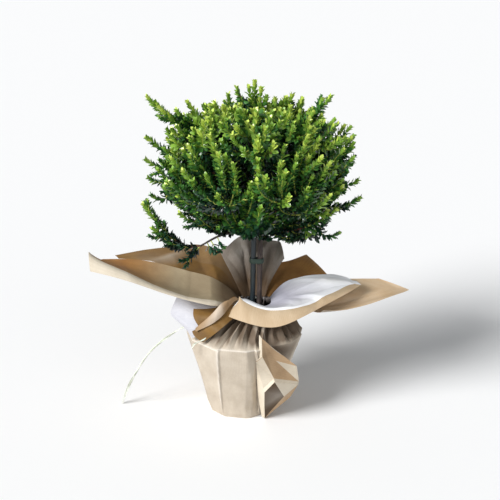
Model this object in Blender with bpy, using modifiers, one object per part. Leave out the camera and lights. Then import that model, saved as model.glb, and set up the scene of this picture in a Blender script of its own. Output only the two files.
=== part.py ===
"""A potted myrtle: a small dense shrub on one staked stem, in a grower's pot wrapped in kraft paper.

Metres, +Z up. The origin is the middle of the wrap's flat underside, and the plant's front faces -Y.
"""

import math
import random

import bmesh
import bpy
from mathutils import Matrix, Vector
from mathutils.geometry import intersect_point_line

MM = 0.001
GAP = 0.0003  # what two pieces that touch keep between their faces

# Grower's pot and its compost
ROUND_STEPS = 24
POT_RIM_RADIUS = 0.070
POT_FOOT_RADIUS = 0.0445
POT_HEIGHT = 0.111
POT_WALL = 0.002
POT_LIP_HEIGHT = 0.012
POT_LIP_STEP = 0.0016
SOIL_DEPTH_BELOW_RIM = 0.012

# Kraft paper wrap
PAPER = 0.0010
FOLD_HEIGHT = 0.116  # where the paper bends in over the pot's rim
FOLD_RADIUS = 0.079
FOOT_RADIUS = 0.0495
NECK_X, NECK_Y = 0.018, -0.002  # the paper is gathered round the stem, right of the pot's middle
NECK_BOTTOM = 0.147
NECK_TOP = 0.154
NECK_INNER_RADIUS = 0.0205
NECK_OUTER_RADIUS = 0.0278
NECK_PLEAT_DEPTH = 0.0010
SLEEVE_COLUMNS = 36
SLEEVE_PLEATS = 18
NECK_COLUMNS = 24
NECK_PLEATS = 12

# Raffia that ties the neck
BAND_RADIUS = 0.0014
BAND_STEPS = 24
TAIL_RADIUS = 0.0020

# Stem and stake
STEM_FOOT_RADIUS = 0.0052
STEM_RADIUS = 0.0034
STEM_TIP_RADIUS = 0.0012
STEM_ROUTE = [
    (23, -4, 100),
    (23, -4.3, 112),
    (24, -4.8, 180),
    (25, -5, 255),
    (24, -4.5, 330),
    (21.5, -3.5, 388),
]
STEM_TIP_HEIGHT = 0.388
STEM_FOOT_HEIGHT = 0.100
STEM_TAPER_FROM = 0.250  # below this the stem keeps one radius
ROOT_FLARE = 0.007  # the height in which the flare at the soil fades
FLARE_STEPS = (0, 0.002, 0.005, 0.010, 0.018)
STEM_STEP = 0.018
STAKE_RADIUS = 0.0037
STAKE_FOOT = (0.0125, -0.0045, 0.018)
STAKE_TOP = (0.0160, -0.0048, 0.266)
STAKE_TIE_HEIGHT = 0.217
STAKE_TIE_WIDTH = 0.007
STAKE_TIE_THICKNESS = 0.0012
STAKE_TIE_CLEARANCE = 0.0004
STAKE_TIE_END_STEPS = 8

# Crown
CROWN_X, CROWN_Y = 0.015, -0.002
CROWN_RADIUS = 0.137
CROWN_MIDDLE = 0.348
CROWN_TOP = 0.457
CROWN_FOOT = 0.258
CROWN_SQUARENESS = 2.9
CROWN_FILL = 0.90  # how near the outline the even shoots end, where 1 is the outline
CORE_RADIUS = 0.027
STRAY_CORE_RADIUS = 0.010
CORE_SWELL = (0.85, 1.12)
CORE_CLEARANCE = 0.002
SHOOTS = 104
SHOOT_SPACING = 0.028
SHORTEST_SHOOT = 0.060
LEAF_SPACING = 0.0100
LEAF_LENGTH = 0.026
LEAF_WIDTH = 0.0105
LEAF_WIDEST = 0.55
LEAF_MIDDLE = 0.6  # the spacing of leaves is measured between these points
LEAF_THICKNESS = 0.0022
LEAF_ANGLE = math.radians(42)
LEAF_PAIRS = 2
LEAF_PAIR_STEP = 0.015
LEAF_SINK = 0.8  # the part of the end leaf that stands past its twig
FIRST_PAIR_STEP = 0.002
SHOOT_TESTS = (0.4, 0.6, 0.8, 1.0)  # where along a shoot its clearance is tested
BARE_RIM = 0.006  # no leaf ends nearer to the core than this
TWIG_RADIUS = 0.0013
TWIG_TAPER = 0.7
CELL_MARGIN = 0.0004
SEED = 41

# Boughs
BOUGH_RADIUS = 0.0021
BOUGH_TIP_RADIUS = 0.0012
FIRST_BOUGH_HEIGHT = 0.271
BOUGH_STEP = 0.0064
ELBOW_OUT, ELBOW_UP = 0.35, 0.18  # where a bough bends, as parts of its reach and of its rise
STEM_ROOM = 0.0048  # what twigs and leaves keep from the stem's, a bough's and the stake's middle
BOUGH_ROOM = 0.0032
STAKE_ROOM = STAKE_RADIUS + 0.0012


def clear_scene():
    for obj in list(bpy.data.objects):
        bpy.data.objects.remove(obj, do_unlink=True)


def new_collection(name):
    collection = bpy.data.collections.new(name)
    bpy.context.scene.collection.children.link(collection)
    return collection


def principled(name, color, roughness, metallic=0.0):
    material = bpy.data.materials.new(name)
    material.use_nodes = True
    shader = material.node_tree.nodes["Principled BSDF"]
    shader.inputs["Base Color"].default_value = (*color, 1.0)
    shader.inputs["Roughness"].default_value = roughness
    shader.inputs["Metallic"].default_value = metallic
    return material


clear_scene()
PARTS = new_collection("potted_myrtle")
CUTTERS = new_collection("cutters")
POT_PLASTIC = principled("pot_plastic", (0.035, 0.033, 0.030), 0.55)
SOIL = principled("potting_soil", (0.045, 0.028, 0.018), 0.95)
KRAFT = principled("kraft_paper", (0.62, 0.48, 0.31), 0.78)
RAFFIA = principled("raffia", (0.86, 0.86, 0.80), 0.50)
CANE = principled("cane", (0.075, 0.105, 0.105), 0.60)
TIE = principled("plant_tie", (0.018, 0.045, 0.030), 0.50)
BARK = principled("bark", (0.19, 0.13, 0.115), 0.85)
FOLIAGE = principled("foliage", (0.06, 0.19, 0.035), 0.45)


def add_object(name, data, material, collection=PARTS):
    obj = bpy.data.objects.new(name, data)
    obj.data.materials.append(material)
    collection.objects.link(obj)
    return obj


def mesh_object(name, shape, material, collection=PARTS):
    """Turns a bmesh into an object, and frees the bmesh."""
    mesh = bpy.data.meshes.new(name)
    shape.to_mesh(mesh)
    shape.free()
    return add_object(name, mesh, material, collection)


def as_mesh(obj):
    """Replaces an object by the plain mesh that its curve or its modifiers make."""
    graph = bpy.context.evaluated_depsgraph_get()
    mesh = bpy.data.meshes.new_from_object(obj.evaluated_get(graph))
    shape = bmesh.new()
    shape.from_mesh(mesh)
    bmesh.ops.remove_doubles(shape, verts=shape.verts, dist=1e-6)
    shape.to_mesh(mesh)
    shape.free()
    name, place, collection = obj.name, obj.matrix_world.copy(), obj.users_collection[0]
    bpy.data.objects.remove(obj, do_unlink=True)
    plain = bpy.data.objects.new(name, mesh)
    plain.matrix_world = place
    collection.objects.link(plain)
    return plain


def as_cutter(obj):
    obj.hide_render = True
    obj.display_type = "WIRE"
    return obj


def cut(obj, cutter):
    boolean = obj.modifiers.new("clearance", "BOOLEAN")
    boolean.operation = "DIFFERENCE"
    boolean.solver = "EXACT"
    boolean.object = cutter


def turned(name, profile, material, steps=ROUND_STEPS):
    """Turns a closed profile of (radius, height) points round Z. It runs down its outer side."""
    shape = bmesh.new()
    corners = [shape.verts.new((radius, 0, height)) for radius, height in profile]
    for start, end in zip(corners, corners[1:] + corners[:1]):
        shape.edges.new((start, end))
    obj = mesh_object(name, shape, material)
    screw = obj.modifiers.new("turn", "SCREW")
    screw.steps = screw.render_steps = steps
    screw.use_merge_vertices = True
    screw.merge_threshold = 1e-5
    return obj


def tube(name, points, radii, material, sides=2, collection=PARTS):
    """A tapering round limb with flat ends along points."""
    curve = bpy.data.curves.new(name, "CURVE")
    curve.dimensions = "3D"
    curve.bevel_depth = 1.0
    curve.bevel_resolution = sides
    curve.use_fill_caps = True
    spline = curve.splines.new("POLY")
    spline.points.add(len(points) - 1)
    for corner, point, radius in zip(spline.points, points, radii):
        corner.co = (*point, 1.0)
        corner.radius = radius
    return add_object(name, curve, material, collection)


def smooth_path(points, steps):
    """Points read from a smooth curve through the given ones."""
    ends = [points[0] * 2 - points[1]] + points + [points[-1] * 2 - points[-2]]
    path = []
    for before, start, end, after in zip(ends, ends[1:], ends[2:], ends[3:]):
        for step in range(steps):
            t = step / steps
            path.append(
                start
                + (end - before) * (t / 2)
                + (before * 2 - start * 5 + end * 4 - after) * (t * t / 2)
                + (start * 3 - before - end * 3 + after) * (t**3 / 2)
            )
    return path + [points[-1]]


def pot():
    """The black grower's pot: a thin taper with a stepped lip."""
    foot = PAPER + GAP
    lip = POT_HEIGHT - POT_LIP_HEIGHT
    under_lip = POT_RIM_RADIUS - POT_LIP_STEP
    profile = [
        (POT_RIM_RADIUS, foot + POT_HEIGHT),
        (POT_RIM_RADIUS, foot + lip),
        (under_lip, foot + lip),
        (POT_FOOT_RADIUS, foot),
        (0.0, foot),
        (0.0, foot + POT_WALL),
        (POT_FOOT_RADIUS - POT_WALL, foot + POT_WALL),
        (under_lip - POT_WALL, foot + POT_HEIGHT),
    ]
    return turned("grow_pot", profile, POT_PLASTIC)


def soil():
    """Compost up to a finger's width under the rim."""
    floor = PAPER + GAP + POT_WALL + GAP
    top = PAPER + GAP + POT_HEIGHT - SOIL_DEPTH_BELOW_RIM
    wall = POT_RIM_RADIUS - POT_LIP_STEP - POT_WALL - (POT_FOOT_RADIUS - POT_WALL)
    low_radius = POT_FOOT_RADIUS - POT_WALL - 2 * GAP
    high_radius = low_radius + wall * (top - floor) / (POT_HEIGHT - POT_WALL)
    shape = bmesh.new()
    bmesh.ops.create_cone(
        shape,
        cap_ends=True,
        segments=ROUND_STEPS,
        radius1=low_radius,
        radius2=high_radius,
        depth=top - floor,
        matrix=Matrix.Translation((0, 0, (top + floor) / 2)),
    )
    return mesh_object("potting_soil", shape, SOIL), top


# Each level of the sleeve: height, radius, how far its middle has moved to the neck, and pleat depth
SLEEVE_LEVELS = [
    (0.0, FOOT_RADIUS, 0.0, 0.0),
    (0.010, FOOT_RADIUS + 0.0030, 0.0, 0.0),
    (0.055, 0.0635, 0.0, 0.0),
    (0.100, 0.0762, 0.0, 0.0),
    (FOLD_HEIGHT, FOLD_RADIUS, 0.0, 0.0),
    (0.1255, 0.0700, 0.15, 0.0015),
    (0.1360, 0.0500, 0.50, 0.0026),
    (NECK_BOTTOM - GAP, NECK_OUTER_RADIUS - 0.001, 1.0, 0.0),
]
# Flat panes of the sleeve: the way each faces, in degrees, and how much of the radius it keeps
SLEEVE_PANES = [
    (-57, 0.945),
    (-112, 0.955),
    (-160, 0.95),
    (10, 0.945),
    (62, 0.95),
    (120, 0.95),
    (175, 0.96),
]


def sleeve_radius(angle, radius):
    """A pane cuts the round level off to a straight side."""
    for facing, kept in SLEEVE_PANES:
        across = math.cos(angle - math.radians(facing))
        if across > kept:
            return radius * kept / across
    return radius


def sleeve():
    """The paper round the pot, from its flat underside over the rim to the gathered neck."""
    shape = bmesh.new()
    rings = []
    for height, radius, shift, pleat in SLEEVE_LEVELS:
        ring = []
        for column in range(SLEEVE_COLUMNS):
            angle = 2 * math.pi * column / SLEEVE_COLUMNS
            fold = pleat * math.cos(SLEEVE_PLEATS * angle)
            around = radius if shift else sleeve_radius(angle, radius)
            x = NECK_X * shift + around * math.cos(angle)
            y = NECK_Y * shift + around * math.sin(angle)
            ring.append(shape.verts.new((x, y, height + fold)))
        rings.append(ring)
    for low, high in zip(rings, rings[1:]):
        for column in range(SLEEVE_COLUMNS):
            beside = (column + 1) % SLEEVE_COLUMNS
            shape.faces.new((low[column], low[beside], high[beside], high[column]))
    shape.faces.new(rings[0][::-1])
    obj = mesh_object("wrap_sleeve", shape, KRAFT)
    wall = obj.modifiers.new("paper", "SOLIDIFY")
    wall.thickness = PAPER
    wall.offset = -1
    return obj


def gathered_neck():
    """The paper bunched into pleats where it is tied round the stem."""
    shape = bmesh.new()
    rings = []
    for radius, height, pleat in [
        (NECK_OUTER_RADIUS, NECK_BOTTOM, NECK_PLEAT_DEPTH),
        (NECK_OUTER_RADIUS, NECK_TOP, NECK_PLEAT_DEPTH),
        (NECK_INNER_RADIUS, NECK_TOP, 0.0),
        (NECK_INNER_RADIUS, NECK_BOTTOM, 0.0),
    ]:
        ring = []
        for column in range(NECK_COLUMNS):
            angle = 2 * math.pi * column / NECK_COLUMNS
            around = radius - pleat * (1 + math.cos(NECK_PLEATS * angle)) / 2
            x = NECK_X + around * math.cos(angle)
            y = NECK_Y + around * math.sin(angle)
            ring.append(shape.verts.new((x, y, height)))
        rings.append(ring)
    for low, high in zip(rings, rings[1:] + rings[:1]):
        for column in range(NECK_COLUMNS):
            beside = (column + 1) % NECK_COLUMNS
            shape.faces.new((low[column], low[beside], high[beside], high[column]))
    return mesh_object("gathered_neck", shape, KRAFT)


# Sheets of the collar. Each row is one fold line, read outwards from the neck, in millimetres.
COLLAR = {
    "left_wing": [
        [
            (2, -18, 155),
            (-10, -26, 158),
            (-46, -42, 166),
            (-97, -48, 184),
            (-138, -50, 201),
            (-173, -49, 212),
            (-198, -46, 217),
        ],
        [
            (-1, -14, 156),
            (-13, -25, 165),
            (-50, -42, 175),
            (-100, -45, 190),
            (-141, -45, 210),
            (-176, -41, 227),
            (-201, -36, 240),
        ],
        [
            (-4, -7, 156),
            (-14, -12, 161),
            (-48, -16, 166),
            (-98, -14, 184),
            (-141, -12, 200),
            (-177, -8, 208),
            (-196, -12, 218),
        ],
        [
            (-4, 3, 156),
            (-14, 8, 171),
            (-50, 12, 189),
            (-100, 18, 200),
            (-140, 22, 208),
            (-176, 22, 207),
            (-188, 10, 212),
        ],
    ],
    "back_left_sheet": [
        [(-8, 6, 155), (-21, 15, 170), (-52, 20, 182), (-100, 27, 193), (-138, 31, 202), (-172, 34, 204)],
        [(-5, 12, 155), (-18, 32, 180), (-52, 54, 196), (-102, 58, 199), (-139, 47, 204), (-175, 38, 205.5)],
        [(2, 20, 155), (-10, 50, 197), (-54, 95, 206), (-102, 84, 204), (-140, 61, 206), (-178, 42, 207)],
    ],
    "back_tissue": [
        [(4, 15, 155), (-4, 31, 180), (-14, 47, 199), (-22, 60, 215)],
        [(10, 19, 155), (4, 43, 183), (-2, 61, 206), (-6, 74, 226)],
        [(18, 20.5, 155), (17, 45, 184), (20, 64, 207), (24, 78, 228)],
        [(26, 19, 155), (31, 40, 182), (43, 58, 200), (60, 68, 215)],
        [(32, 15, 155), (39, 28, 176), (49, 44, 190), (56, 52, 200)],
    ],
    "back_right_sheet": [
        [(31, 21, 155), (38, 38, 171), (46, 56, 190)],
        [(36, 17.5, 155), (50, 42, 172), (68, 70, 187)],
        [(40, 13, 155), (62, 46, 172), (92, 80, 193)],
        [(43, 8, 155), (74, 45, 169), (110, 67, 181)],
        [(44.5, 5, 155), (84, 42, 166), (121, 55, 172)],
    ],
    "right_wing": [
        [(7, -21.5, 155), (2, -25, 174), (-1, -38, 167), (-10, -49, 150)],
        [(13, -24, 155), (18, -31, 167), (20, -47, 163), (24, -64, 144)],
        [(22, -24, 155), (34, -36, 161), (44, -52, 165), (48, -70, 146)],
        [(32, -19.5, 155), (56, -36, 162), (72, -54, 171), (74, -67, 157)],
        [(38, -11, 155), (78, -26, 167), (108, -44, 182), (107, -53, 171)],
        [(40.3, -4, 155), (92, -6, 171), (134, -26, 184), (140, -33, 180)],
        [(40.3, 2, 155), (88, 12, 174), (128, 8, 180), (160, -18, 185)],
        [(39.5, 6, 155), (76, 22, 177), (118, 28, 182), (148, 18, 183)],
        [(37.5, 10, 155), (56, 20, 178), (88, 33, 183), (126, 34, 184)],
    ],
    "right_under_sheet": [
        [(40, -16.5, 155), (58, -26, 155), (82, -38, 158), (108, -46, 163)],
        [(42, -12, 155), (64, -16, 157), (98, -22, 161), (140, -36, 160)],
        [(43.8, -7.5, 155), (72, -6, 159), (124, -10, 166), (180, -22, 164)],
        [(44.5, -3.5, 155), (74, 4, 160), (138, 4, 171), (205, -14, 172)],
        [(44.5, -0.5, 155), (74, 13, 163), (146, 18, 176), (229, 0, 174)],
        [(44, 2.5, 155), (72, 22, 166), (125, 38, 178), (190, 22, 181)],
    ],
    "front_tongue": [
        [(-1, -21, 155), (-9, -31, 176), (-25, -42, 172), (-37, -50, 157), (-62, -53, 139)],
        [(1, -22.6, 155), (-8, -33, 186), (-23, -46, 169), (-38, -54, 152), (-62, -55, 137)],
        [(3.2, -24.2, 155), (-6, -31, 176), (-19, -46, 161), (-38, -54, 146), (-61, -56, 135)],
    ],
    "white_flap": [
        [(-7.8, -8, 155), (-34, -17, 159), (-62, -24, 166), (-88, -25, 171)],
        [(-6.4, -11, 155), (-34, -25, 157), (-66, -34, 158), (-94, -28, 158)],
        [(-4.9, -14.2, 155), (-32, -32, 153), (-66, -43, 147), (-99, -30, 147)],
        [(-3.4, -17, 155), (-30, -37, 149), (-60, -49, 137), (-78, -40, 136)],
        [(-2.6, -18.4, 155), (-28, -42, 145), (-56, -53, 130), (-67, -50, 122)],
    ],
}
FOLDED_EAR = [
    [(21, -80, 141), (24, -80.5, 143), (27, -80, 140)],
    [(16.5, -76.4, 110), (33, -79, 112), (50, -68, 117)],
    [(20, -71, 80), (34, -77, 74), (75, -50, 76)],
    [(24, -62, 48), (44, -68, 52), (78, -46, 55)],
    [(32, -51, 1.5), (45, -52, 17), (59, -49, 33)],
]
# Corners of the collar that stay sharp: the row and the place in it
SHARP_TIPS = {
    "left_wing": [(1, 6)],
    "back_tissue": [(2, 3), (3, 3)],
    "back_right_sheet": [(2, 2)],
    "right_wing": [(6, 3)],
    "right_under_sheet": [(4, 3)],
}


def sheet(name, rows, levels=1):
    """A curved piece of paper through a grid of points."""
    shape = bmesh.new()
    crease = shape.verts.layers.float.new("crease_vert")
    grid = [[shape.verts.new(Vector(point) * MM) for point in row] for row in rows]
    for row, place in SHARP_TIPS.get(name, []):
        grid[row][place][crease] = 1.0
    for low, high in zip(grid, grid[1:]):
        for i in range(len(low) - 1):
            shape.faces.new((low[i], low[i + 1], high[i + 1], high[i]))
    obj = mesh_object(name, shape, KRAFT)
    if levels:
        rounded = obj.modifiers.new("rounded", "SUBSURF")
        rounded.levels = rounded.render_levels = levels
        rounded.boundary_smooth = "PRESERVE_CORNERS"
    wall = obj.modifiers.new("paper", "SOLIDIFY")
    wall.thickness = PAPER
    wall.offset = 0
    return obj


# The two ends of the raffia, in millimetres from the band
TAIL_ROUTE = [
    (-12.6, -9.8, 150.4),
    (-28, -19, 147),
    (-48, -27, 142),
    (-66, -32, 137),
    (-84, -37, 130),
    (-107, -33, 112),
    (-134, -24, 80),
    (-155, -15, 42),
    (-166, -10, 16),
    (-172, -8, 1.2),
]
SHORT_END_ROUTE = [
    (-9.8, -17.6, 150.4),
    (-20, -33, 141.5),
    (-34, -48, 133),
    (-50, -60, 125.5),
    (-62, -60, 119.5),
    (-68, -57, 110),
]


def raffia():
    """The band round the neck, and its long and short ends."""
    ring = NECK_OUTER_RADIUS + BAND_RADIUS + GAP
    path = []
    for step in range(BAND_STEPS):
        angle = 2 * math.pi * step / BAND_STEPS
        x = NECK_X + ring * math.cos(angle)
        y = NECK_Y + ring * math.sin(angle)
        path.append(Vector((x, y, (NECK_BOTTOM + NECK_TOP) / 2)))
    band = tube("raffia_tie", path, [BAND_RADIUS] * BAND_STEPS, RAFFIA, sides=0)
    band.data.splines[0].use_cyclic_u = True
    band.data.use_fill_caps = False
    for name, route, radius in [
        ("raffia_tail", TAIL_ROUTE, TAIL_RADIUS),
        ("raffia_short_end", SHORT_END_ROUTE, BAND_RADIUS),
    ]:
        path = smooth_path([Vector(point) * MM for point in route], 3)
        tube(name, path, [radius] * len(path), RAFFIA, sides=1)


def stem_middle(height):
    """The stem's middle at a height, along its lean."""
    route = [Vector(point) * MM for point in STEM_ROUTE]
    for start, end in zip(route, route[1:]):
        if height <= end.z:
            return start.lerp(end, (height - start.z) / (end.z - start.z))
    return route[-1]


def stem_radius(height):
    """Root flare at the soil, then a slow taper to the tip in the crown."""
    flare = (STEM_FOOT_RADIUS - STEM_RADIUS) * math.exp(-(height - STEM_FOOT_HEIGHT) / ROOT_FLARE)
    upper = max(0.0, (height - STEM_TAPER_FROM) / (STEM_TIP_HEIGHT - STEM_TAPER_FROM))
    return STEM_RADIUS + flare + (STEM_TIP_RADIUS - STEM_RADIUS) * upper


def stem(soil_top):
    """The stem from its flat cut at the soil to its tip. Gives the swollen copy that cuts the boughs."""
    heights = [soil_top + GAP + step for step in FLARE_STEPS]
    while heights[-1] < STEM_TIP_HEIGHT:
        heights.append(min(heights[-1] + STEM_STEP, STEM_TIP_HEIGHT))
    path = [stem_middle(height) for height in heights]
    path[1].x, path[1].y = path[0].x, path[0].y
    radii = [stem_radius(height) for height in heights]
    tube("trunk", path, radii, BARK, sides=2)
    swollen = [radius + GAP + GAP / 3 for radius in radii]
    return as_cutter(as_mesh(tube("trunk_clearance", path, swollen, BARK, sides=2, collection=CUTTERS)))


def stake(compost):
    """The cane beside the stem, and its hole in the compost."""
    foot, top = Vector(STAKE_FOOT), Vector(STAKE_TOP)
    tube("stake", [foot, top], [STAKE_RADIUS] * 2, CANE, sides=3)
    foot.z -= GAP
    hole = tube("stake_hole", [foot, top], [STAKE_RADIUS + GAP] * 2, CANE, sides=3, collection=CUTTERS)
    cut(compost, as_cutter(as_mesh(hole)))


def stake_tie():
    """A soft green tie that holds the stem to the stake: a long ring round both."""
    at_stem = stem_middle(STAKE_TIE_HEIGHT)
    part = (STAKE_TIE_HEIGHT - STAKE_FOOT[2]) / (STAKE_TOP[2] - STAKE_FOOT[2])
    at_stake = Vector(STAKE_FOOT).lerp(Vector(STAKE_TOP), part)
    inner = STAKE_RADIUS + STAKE_TIE_CLEARANCE
    curve = bpy.data.curves.new("stake_tie", "CURVE")
    curve.dimensions = "2D"
    curve.fill_mode = "BOTH"
    curve.extrude = STAKE_TIE_WIDTH / 2
    for radius in (inner, inner + STAKE_TIE_THICKNESS):
        corners = []
        for middle, first in ((at_stake, math.pi / 2), (at_stem, -math.pi / 2)):
            for step in range(STAKE_TIE_END_STEPS):
                angle = first + math.pi * step / (STAKE_TIE_END_STEPS - 1)
                corners.append((middle.x + radius * math.cos(angle), middle.y + radius * math.sin(angle)))
        spline = curve.splines.new("POLY")
        spline.use_cyclic_u = True
        spline.points.add(len(corners) - 1)
        for point, corner in zip(spline.points, corners):
            point.co = (*corner, 0.0, 1.0)
    tie = add_object("stake_tie", curve, TIE)
    tie.location = (0, 0, STAKE_TIE_HEIGHT)


# Masses of foliage: name, ring radius in mm, height in mm, how many, and the first one's bearing in degrees
TIERS = [
    ("lower", 69, 302, 6, 30),
    ("middle", 74, 350, 6, 0),
    ("upper", 54, 396, 5, -90),
]
CAP_HEART = (19, -3, 418)
STRAY_HEART = (-86, -41, 256)
STRAY_ROUTE = [(25, -5, 262), (16, -15, 262.5), (-4, -19, 262), (-28, -24, 259), (-54, -37, 249)]
STRAY_TIPS = [
    (-125, -40, 309),
    (-120, -52, 292),
    (-108, -28, 288),
    (-104, -54, 268),
    (-78, -46, 230),
    (-66, -34, 238),
]
# Shoots that stand out of the crown's outline in the front view: x and height in mm
LEADERS = [
    (-115, 437),
    (-99, 425),
    (-64, 430),
    (-40, 431),
    (-17, 446),
    (-2, 450),
    (17, 457),
    (66, 444),
    (100, 428),
    (110, 437),
    (137, 398),
    (144, 352),
    (147, 334),
    (150, 300),
    (125, 264),
    (-120, 387),
    (-121, 356),
    (-116, 332),
    (-117, 311),
]
LEADER_DEPTHS = (0, -14, 14, -28, 28)
VIEW_SLOPE = math.tan(math.radians(20))  # how much lower a shoot at the back shows at the same place
LOWER_FRONT_LIFT = 12  # the crown's foot is higher at the side of the stray bough


def hearts():
    """The middle of each mass of foliage, by name."""
    found = {}
    for tier, ring, height, count, first in TIERS:
        for i in range(count):
            bearing = math.radians(first + 360 * i / count)
            lift = LOWER_FRONT_LIFT * max(0.0, -math.cos(bearing)) if tier == "lower" else 0
            x = CROWN_X + ring * MM * math.cos(bearing)
            y = CROWN_Y + ring * MM * math.sin(bearing)
            found[f"{tier}_{i + 1}"] = Vector((x, y, (height + lift) * MM))
    found["cap"] = Vector(CAP_HEART) * MM
    found["stray"] = Vector(STRAY_HEART) * MM
    return found


HEARTS = hearts()


def crown_reach(point):
    """Under 1 inside the crown's outline, a rounded block that is flatter on top than below."""
    out = math.hypot(point.x - CROWN_X, point.y - CROWN_Y) / CROWN_RADIUS
    rise = point.z - CROWN_MIDDLE
    up = rise / (CROWN_TOP - CROWN_MIDDLE) if rise > 0 else rise / (CROWN_FOOT - CROWN_MIDDLE)
    return out**CROWN_SQUARENESS + abs(up) ** CROWN_SQUARENESS


def room(point, name):
    """How far a point is inside its own mass's space, whose walls stand midway between the hearts."""
    here = HEARTS[name]
    own = (point - here).length_squared
    return min(
        ((point - other).length_squared - own) / (2 * (other - here).length)
        for key, other in HEARTS.items()
        if key != name
    )


def near_limb(point, limbs):
    for start, end, radius in limbs:
        nearest, part = intersect_point_line(point, start, end)
        nearest = start if part < 0 else end if part > 1 else nearest
        if (point - nearest).length < radius:
            return True
    return False


def fits(points, name, limbs):
    """True where all the points keep to the mass's own space and clear of every limb."""
    return all(room(p, name) > CELL_MARGIN and not near_limb(p, limbs) for p in points)


def bough_route(name, order):
    """A bough's points from the stem's middle to where it enters its mass."""
    if name == "stray":
        return smooth_path([Vector(point) * MM for point in STRAY_ROUTE], 2)
    heart = HEARTS[name]
    start = stem_middle(FIRST_BOUGH_HEIGHT + BOUGH_STEP * order)
    reach = heart - start
    elbow = start + Vector((reach.x * ELBOW_OUT, reach.y * ELBOW_OUT, reach.z * ELBOW_UP))
    end = heart - reach.normalized() * (CORE_RADIUS * CORE_SWELL[1] + CORE_CLEARANCE)
    return [start, elbow, end]


def boughs(clearance):
    """Every bough by its mass's name, each cut clear of the stem."""
    routes = {}
    order = 0
    for name in HEARTS:
        if name == "cap":
            continue
        routes[name] = bough_route(name, order)
        order += name != "stray"
        last = len(routes[name]) - 1
        radii = [BOUGH_RADIUS + (BOUGH_TIP_RADIUS - BOUGH_RADIUS) * i / last for i in range(last + 1)]
        obj = as_mesh(tube(f"bough_{name}", routes[name], radii, BARK, sides=1))
        cut(obj, clearance)
    return routes


def twig(start, end, radius, tip_radius, collection):
    """A three-sided length of twig."""
    along = end - start
    turn = along.to_track_quat("Z", "Y").to_matrix().to_4x4()
    shape = bmesh.new()
    bmesh.ops.create_cone(
        shape,
        cap_ends=True,
        segments=3,
        radius1=radius,
        radius2=tip_radius,
        depth=along.length,
        matrix=Matrix.Translation((start + end) / 2) @ turn,
    )
    return mesh_object("twig", shape, FOLIAGE, collection)


def leaf_points(root, along, across):
    """The corners of an eight-faced leaf: root, tip, two edges and two cheeks."""
    face = along.cross(across).normalized()
    across = face.cross(along).normalized()
    widest = root + along * (LEAF_LENGTH * LEAF_WIDEST)
    return [
        root,
        root + along * LEAF_LENGTH,
        widest + across * (LEAF_WIDTH / 2),
        widest - across * (LEAF_WIDTH / 2),
        widest + face * (LEAF_THICKNESS / 2),
        widest - face * (LEAF_THICKNESS / 2),
    ]


def leaf(points, collection):
    shape = bmesh.new()
    for point in points:
        shape.verts.new(point)
    bmesh.ops.convex_hull(shape, input=shape.verts)
    bmesh.ops.recalc_face_normals(shape, faces=shape.faces)
    return mesh_object("leaf", shape, FOLIAGE, collection)


def core_radius(name):
    return STRAY_CORE_RADIUS if name == "stray" else CORE_RADIUS


def core(name, collection, rng):
    """The dark dense middle of a mass, drawn in where its space is narrow."""
    heart = HEARTS[name]
    shape = bmesh.new()
    bmesh.ops.create_icosphere(shape, subdivisions=1, radius=1.0)
    for corner in shape.verts:
        way = corner.co.normalized()
        reach = core_radius(name) * rng.uniform(*CORE_SWELL)
        while room(heart + way * (reach + CORE_CLEARANCE), name) < CELL_MARGIN:
            reach -= MM
        corner.co = heart + way * reach
    return mesh_object(f"{name}_core", shape, FOLIAGE, collection)


def leader_tips():
    """The shoots that stand out of the outline, each as near the middle of the depth as its mass allows."""
    tips = []
    for x, height in LEADERS:
        places = [Vector((x, y, height - y * VIEW_SLOPE)) * MM for y in LEADER_DEPTHS]
        tips.append(max(places, key=lambda place: max(room(place, key) for key in HEARTS)))
    return tips


def shoot_tips():
    """Where the shoots end, by mass: the leaders, then others spread evenly over the whole crown."""
    middle = Vector((CROWN_X, CROWN_Y, CROWN_MIDDLE))
    tips = leader_tips()
    for i in range(SHOOTS):
        height = 1 - 2 * (i + 0.5) / SHOOTS
        bearing = i * math.pi * (3 - math.sqrt(5))
        out = math.sqrt(1 - height * height)
        way = Vector((out * math.cos(bearing), out * math.sin(bearing), height))
        reach = SHORTEST_SHOOT
        while crown_reach(middle + way * reach) < CROWN_FILL:
            reach += MM
        tip = middle + way * reach
        if all((tip - other).length > SHOOT_SPACING for other in tips):
            tips.append(tip)
    found = {name: [] for name in HEARTS}
    found["stray"] = [Vector(tip) * MM for tip in STRAY_TIPS]
    for tip in tips:
        name = max(HEARTS, key=lambda key: room(tip, key))
        if name != "stray":
            found[name].append(tip)
    return found


def shoot_leaves(heart, tip, end, rng):
    """The leaves of one shoot, as (root, way it points, way across): one at the tip, then crossed pairs."""
    along = (tip - heart).normalized()
    side = along.orthogonal().normalized()
    side.rotate(Matrix.Rotation(rng.uniform(0, math.pi), 3, along))
    wanted = [(tip - along * LEAF_LENGTH, along, side)]
    for pair in range(LEAF_PAIRS):
        root = end - along * (LEAF_PAIR_STEP * pair + FIRST_PAIR_STEP)
        outward = side if pair % 2 else along.cross(side).normalized()
        for spread in (outward, -outward):
            way = along * math.cos(LEAF_ANGLE) + spread * math.sin(LEAF_ANGLE)
            wanted.append((root + spread * (TWIG_RADIUS / 6), way, along.cross(outward)))
    return wanted


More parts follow.
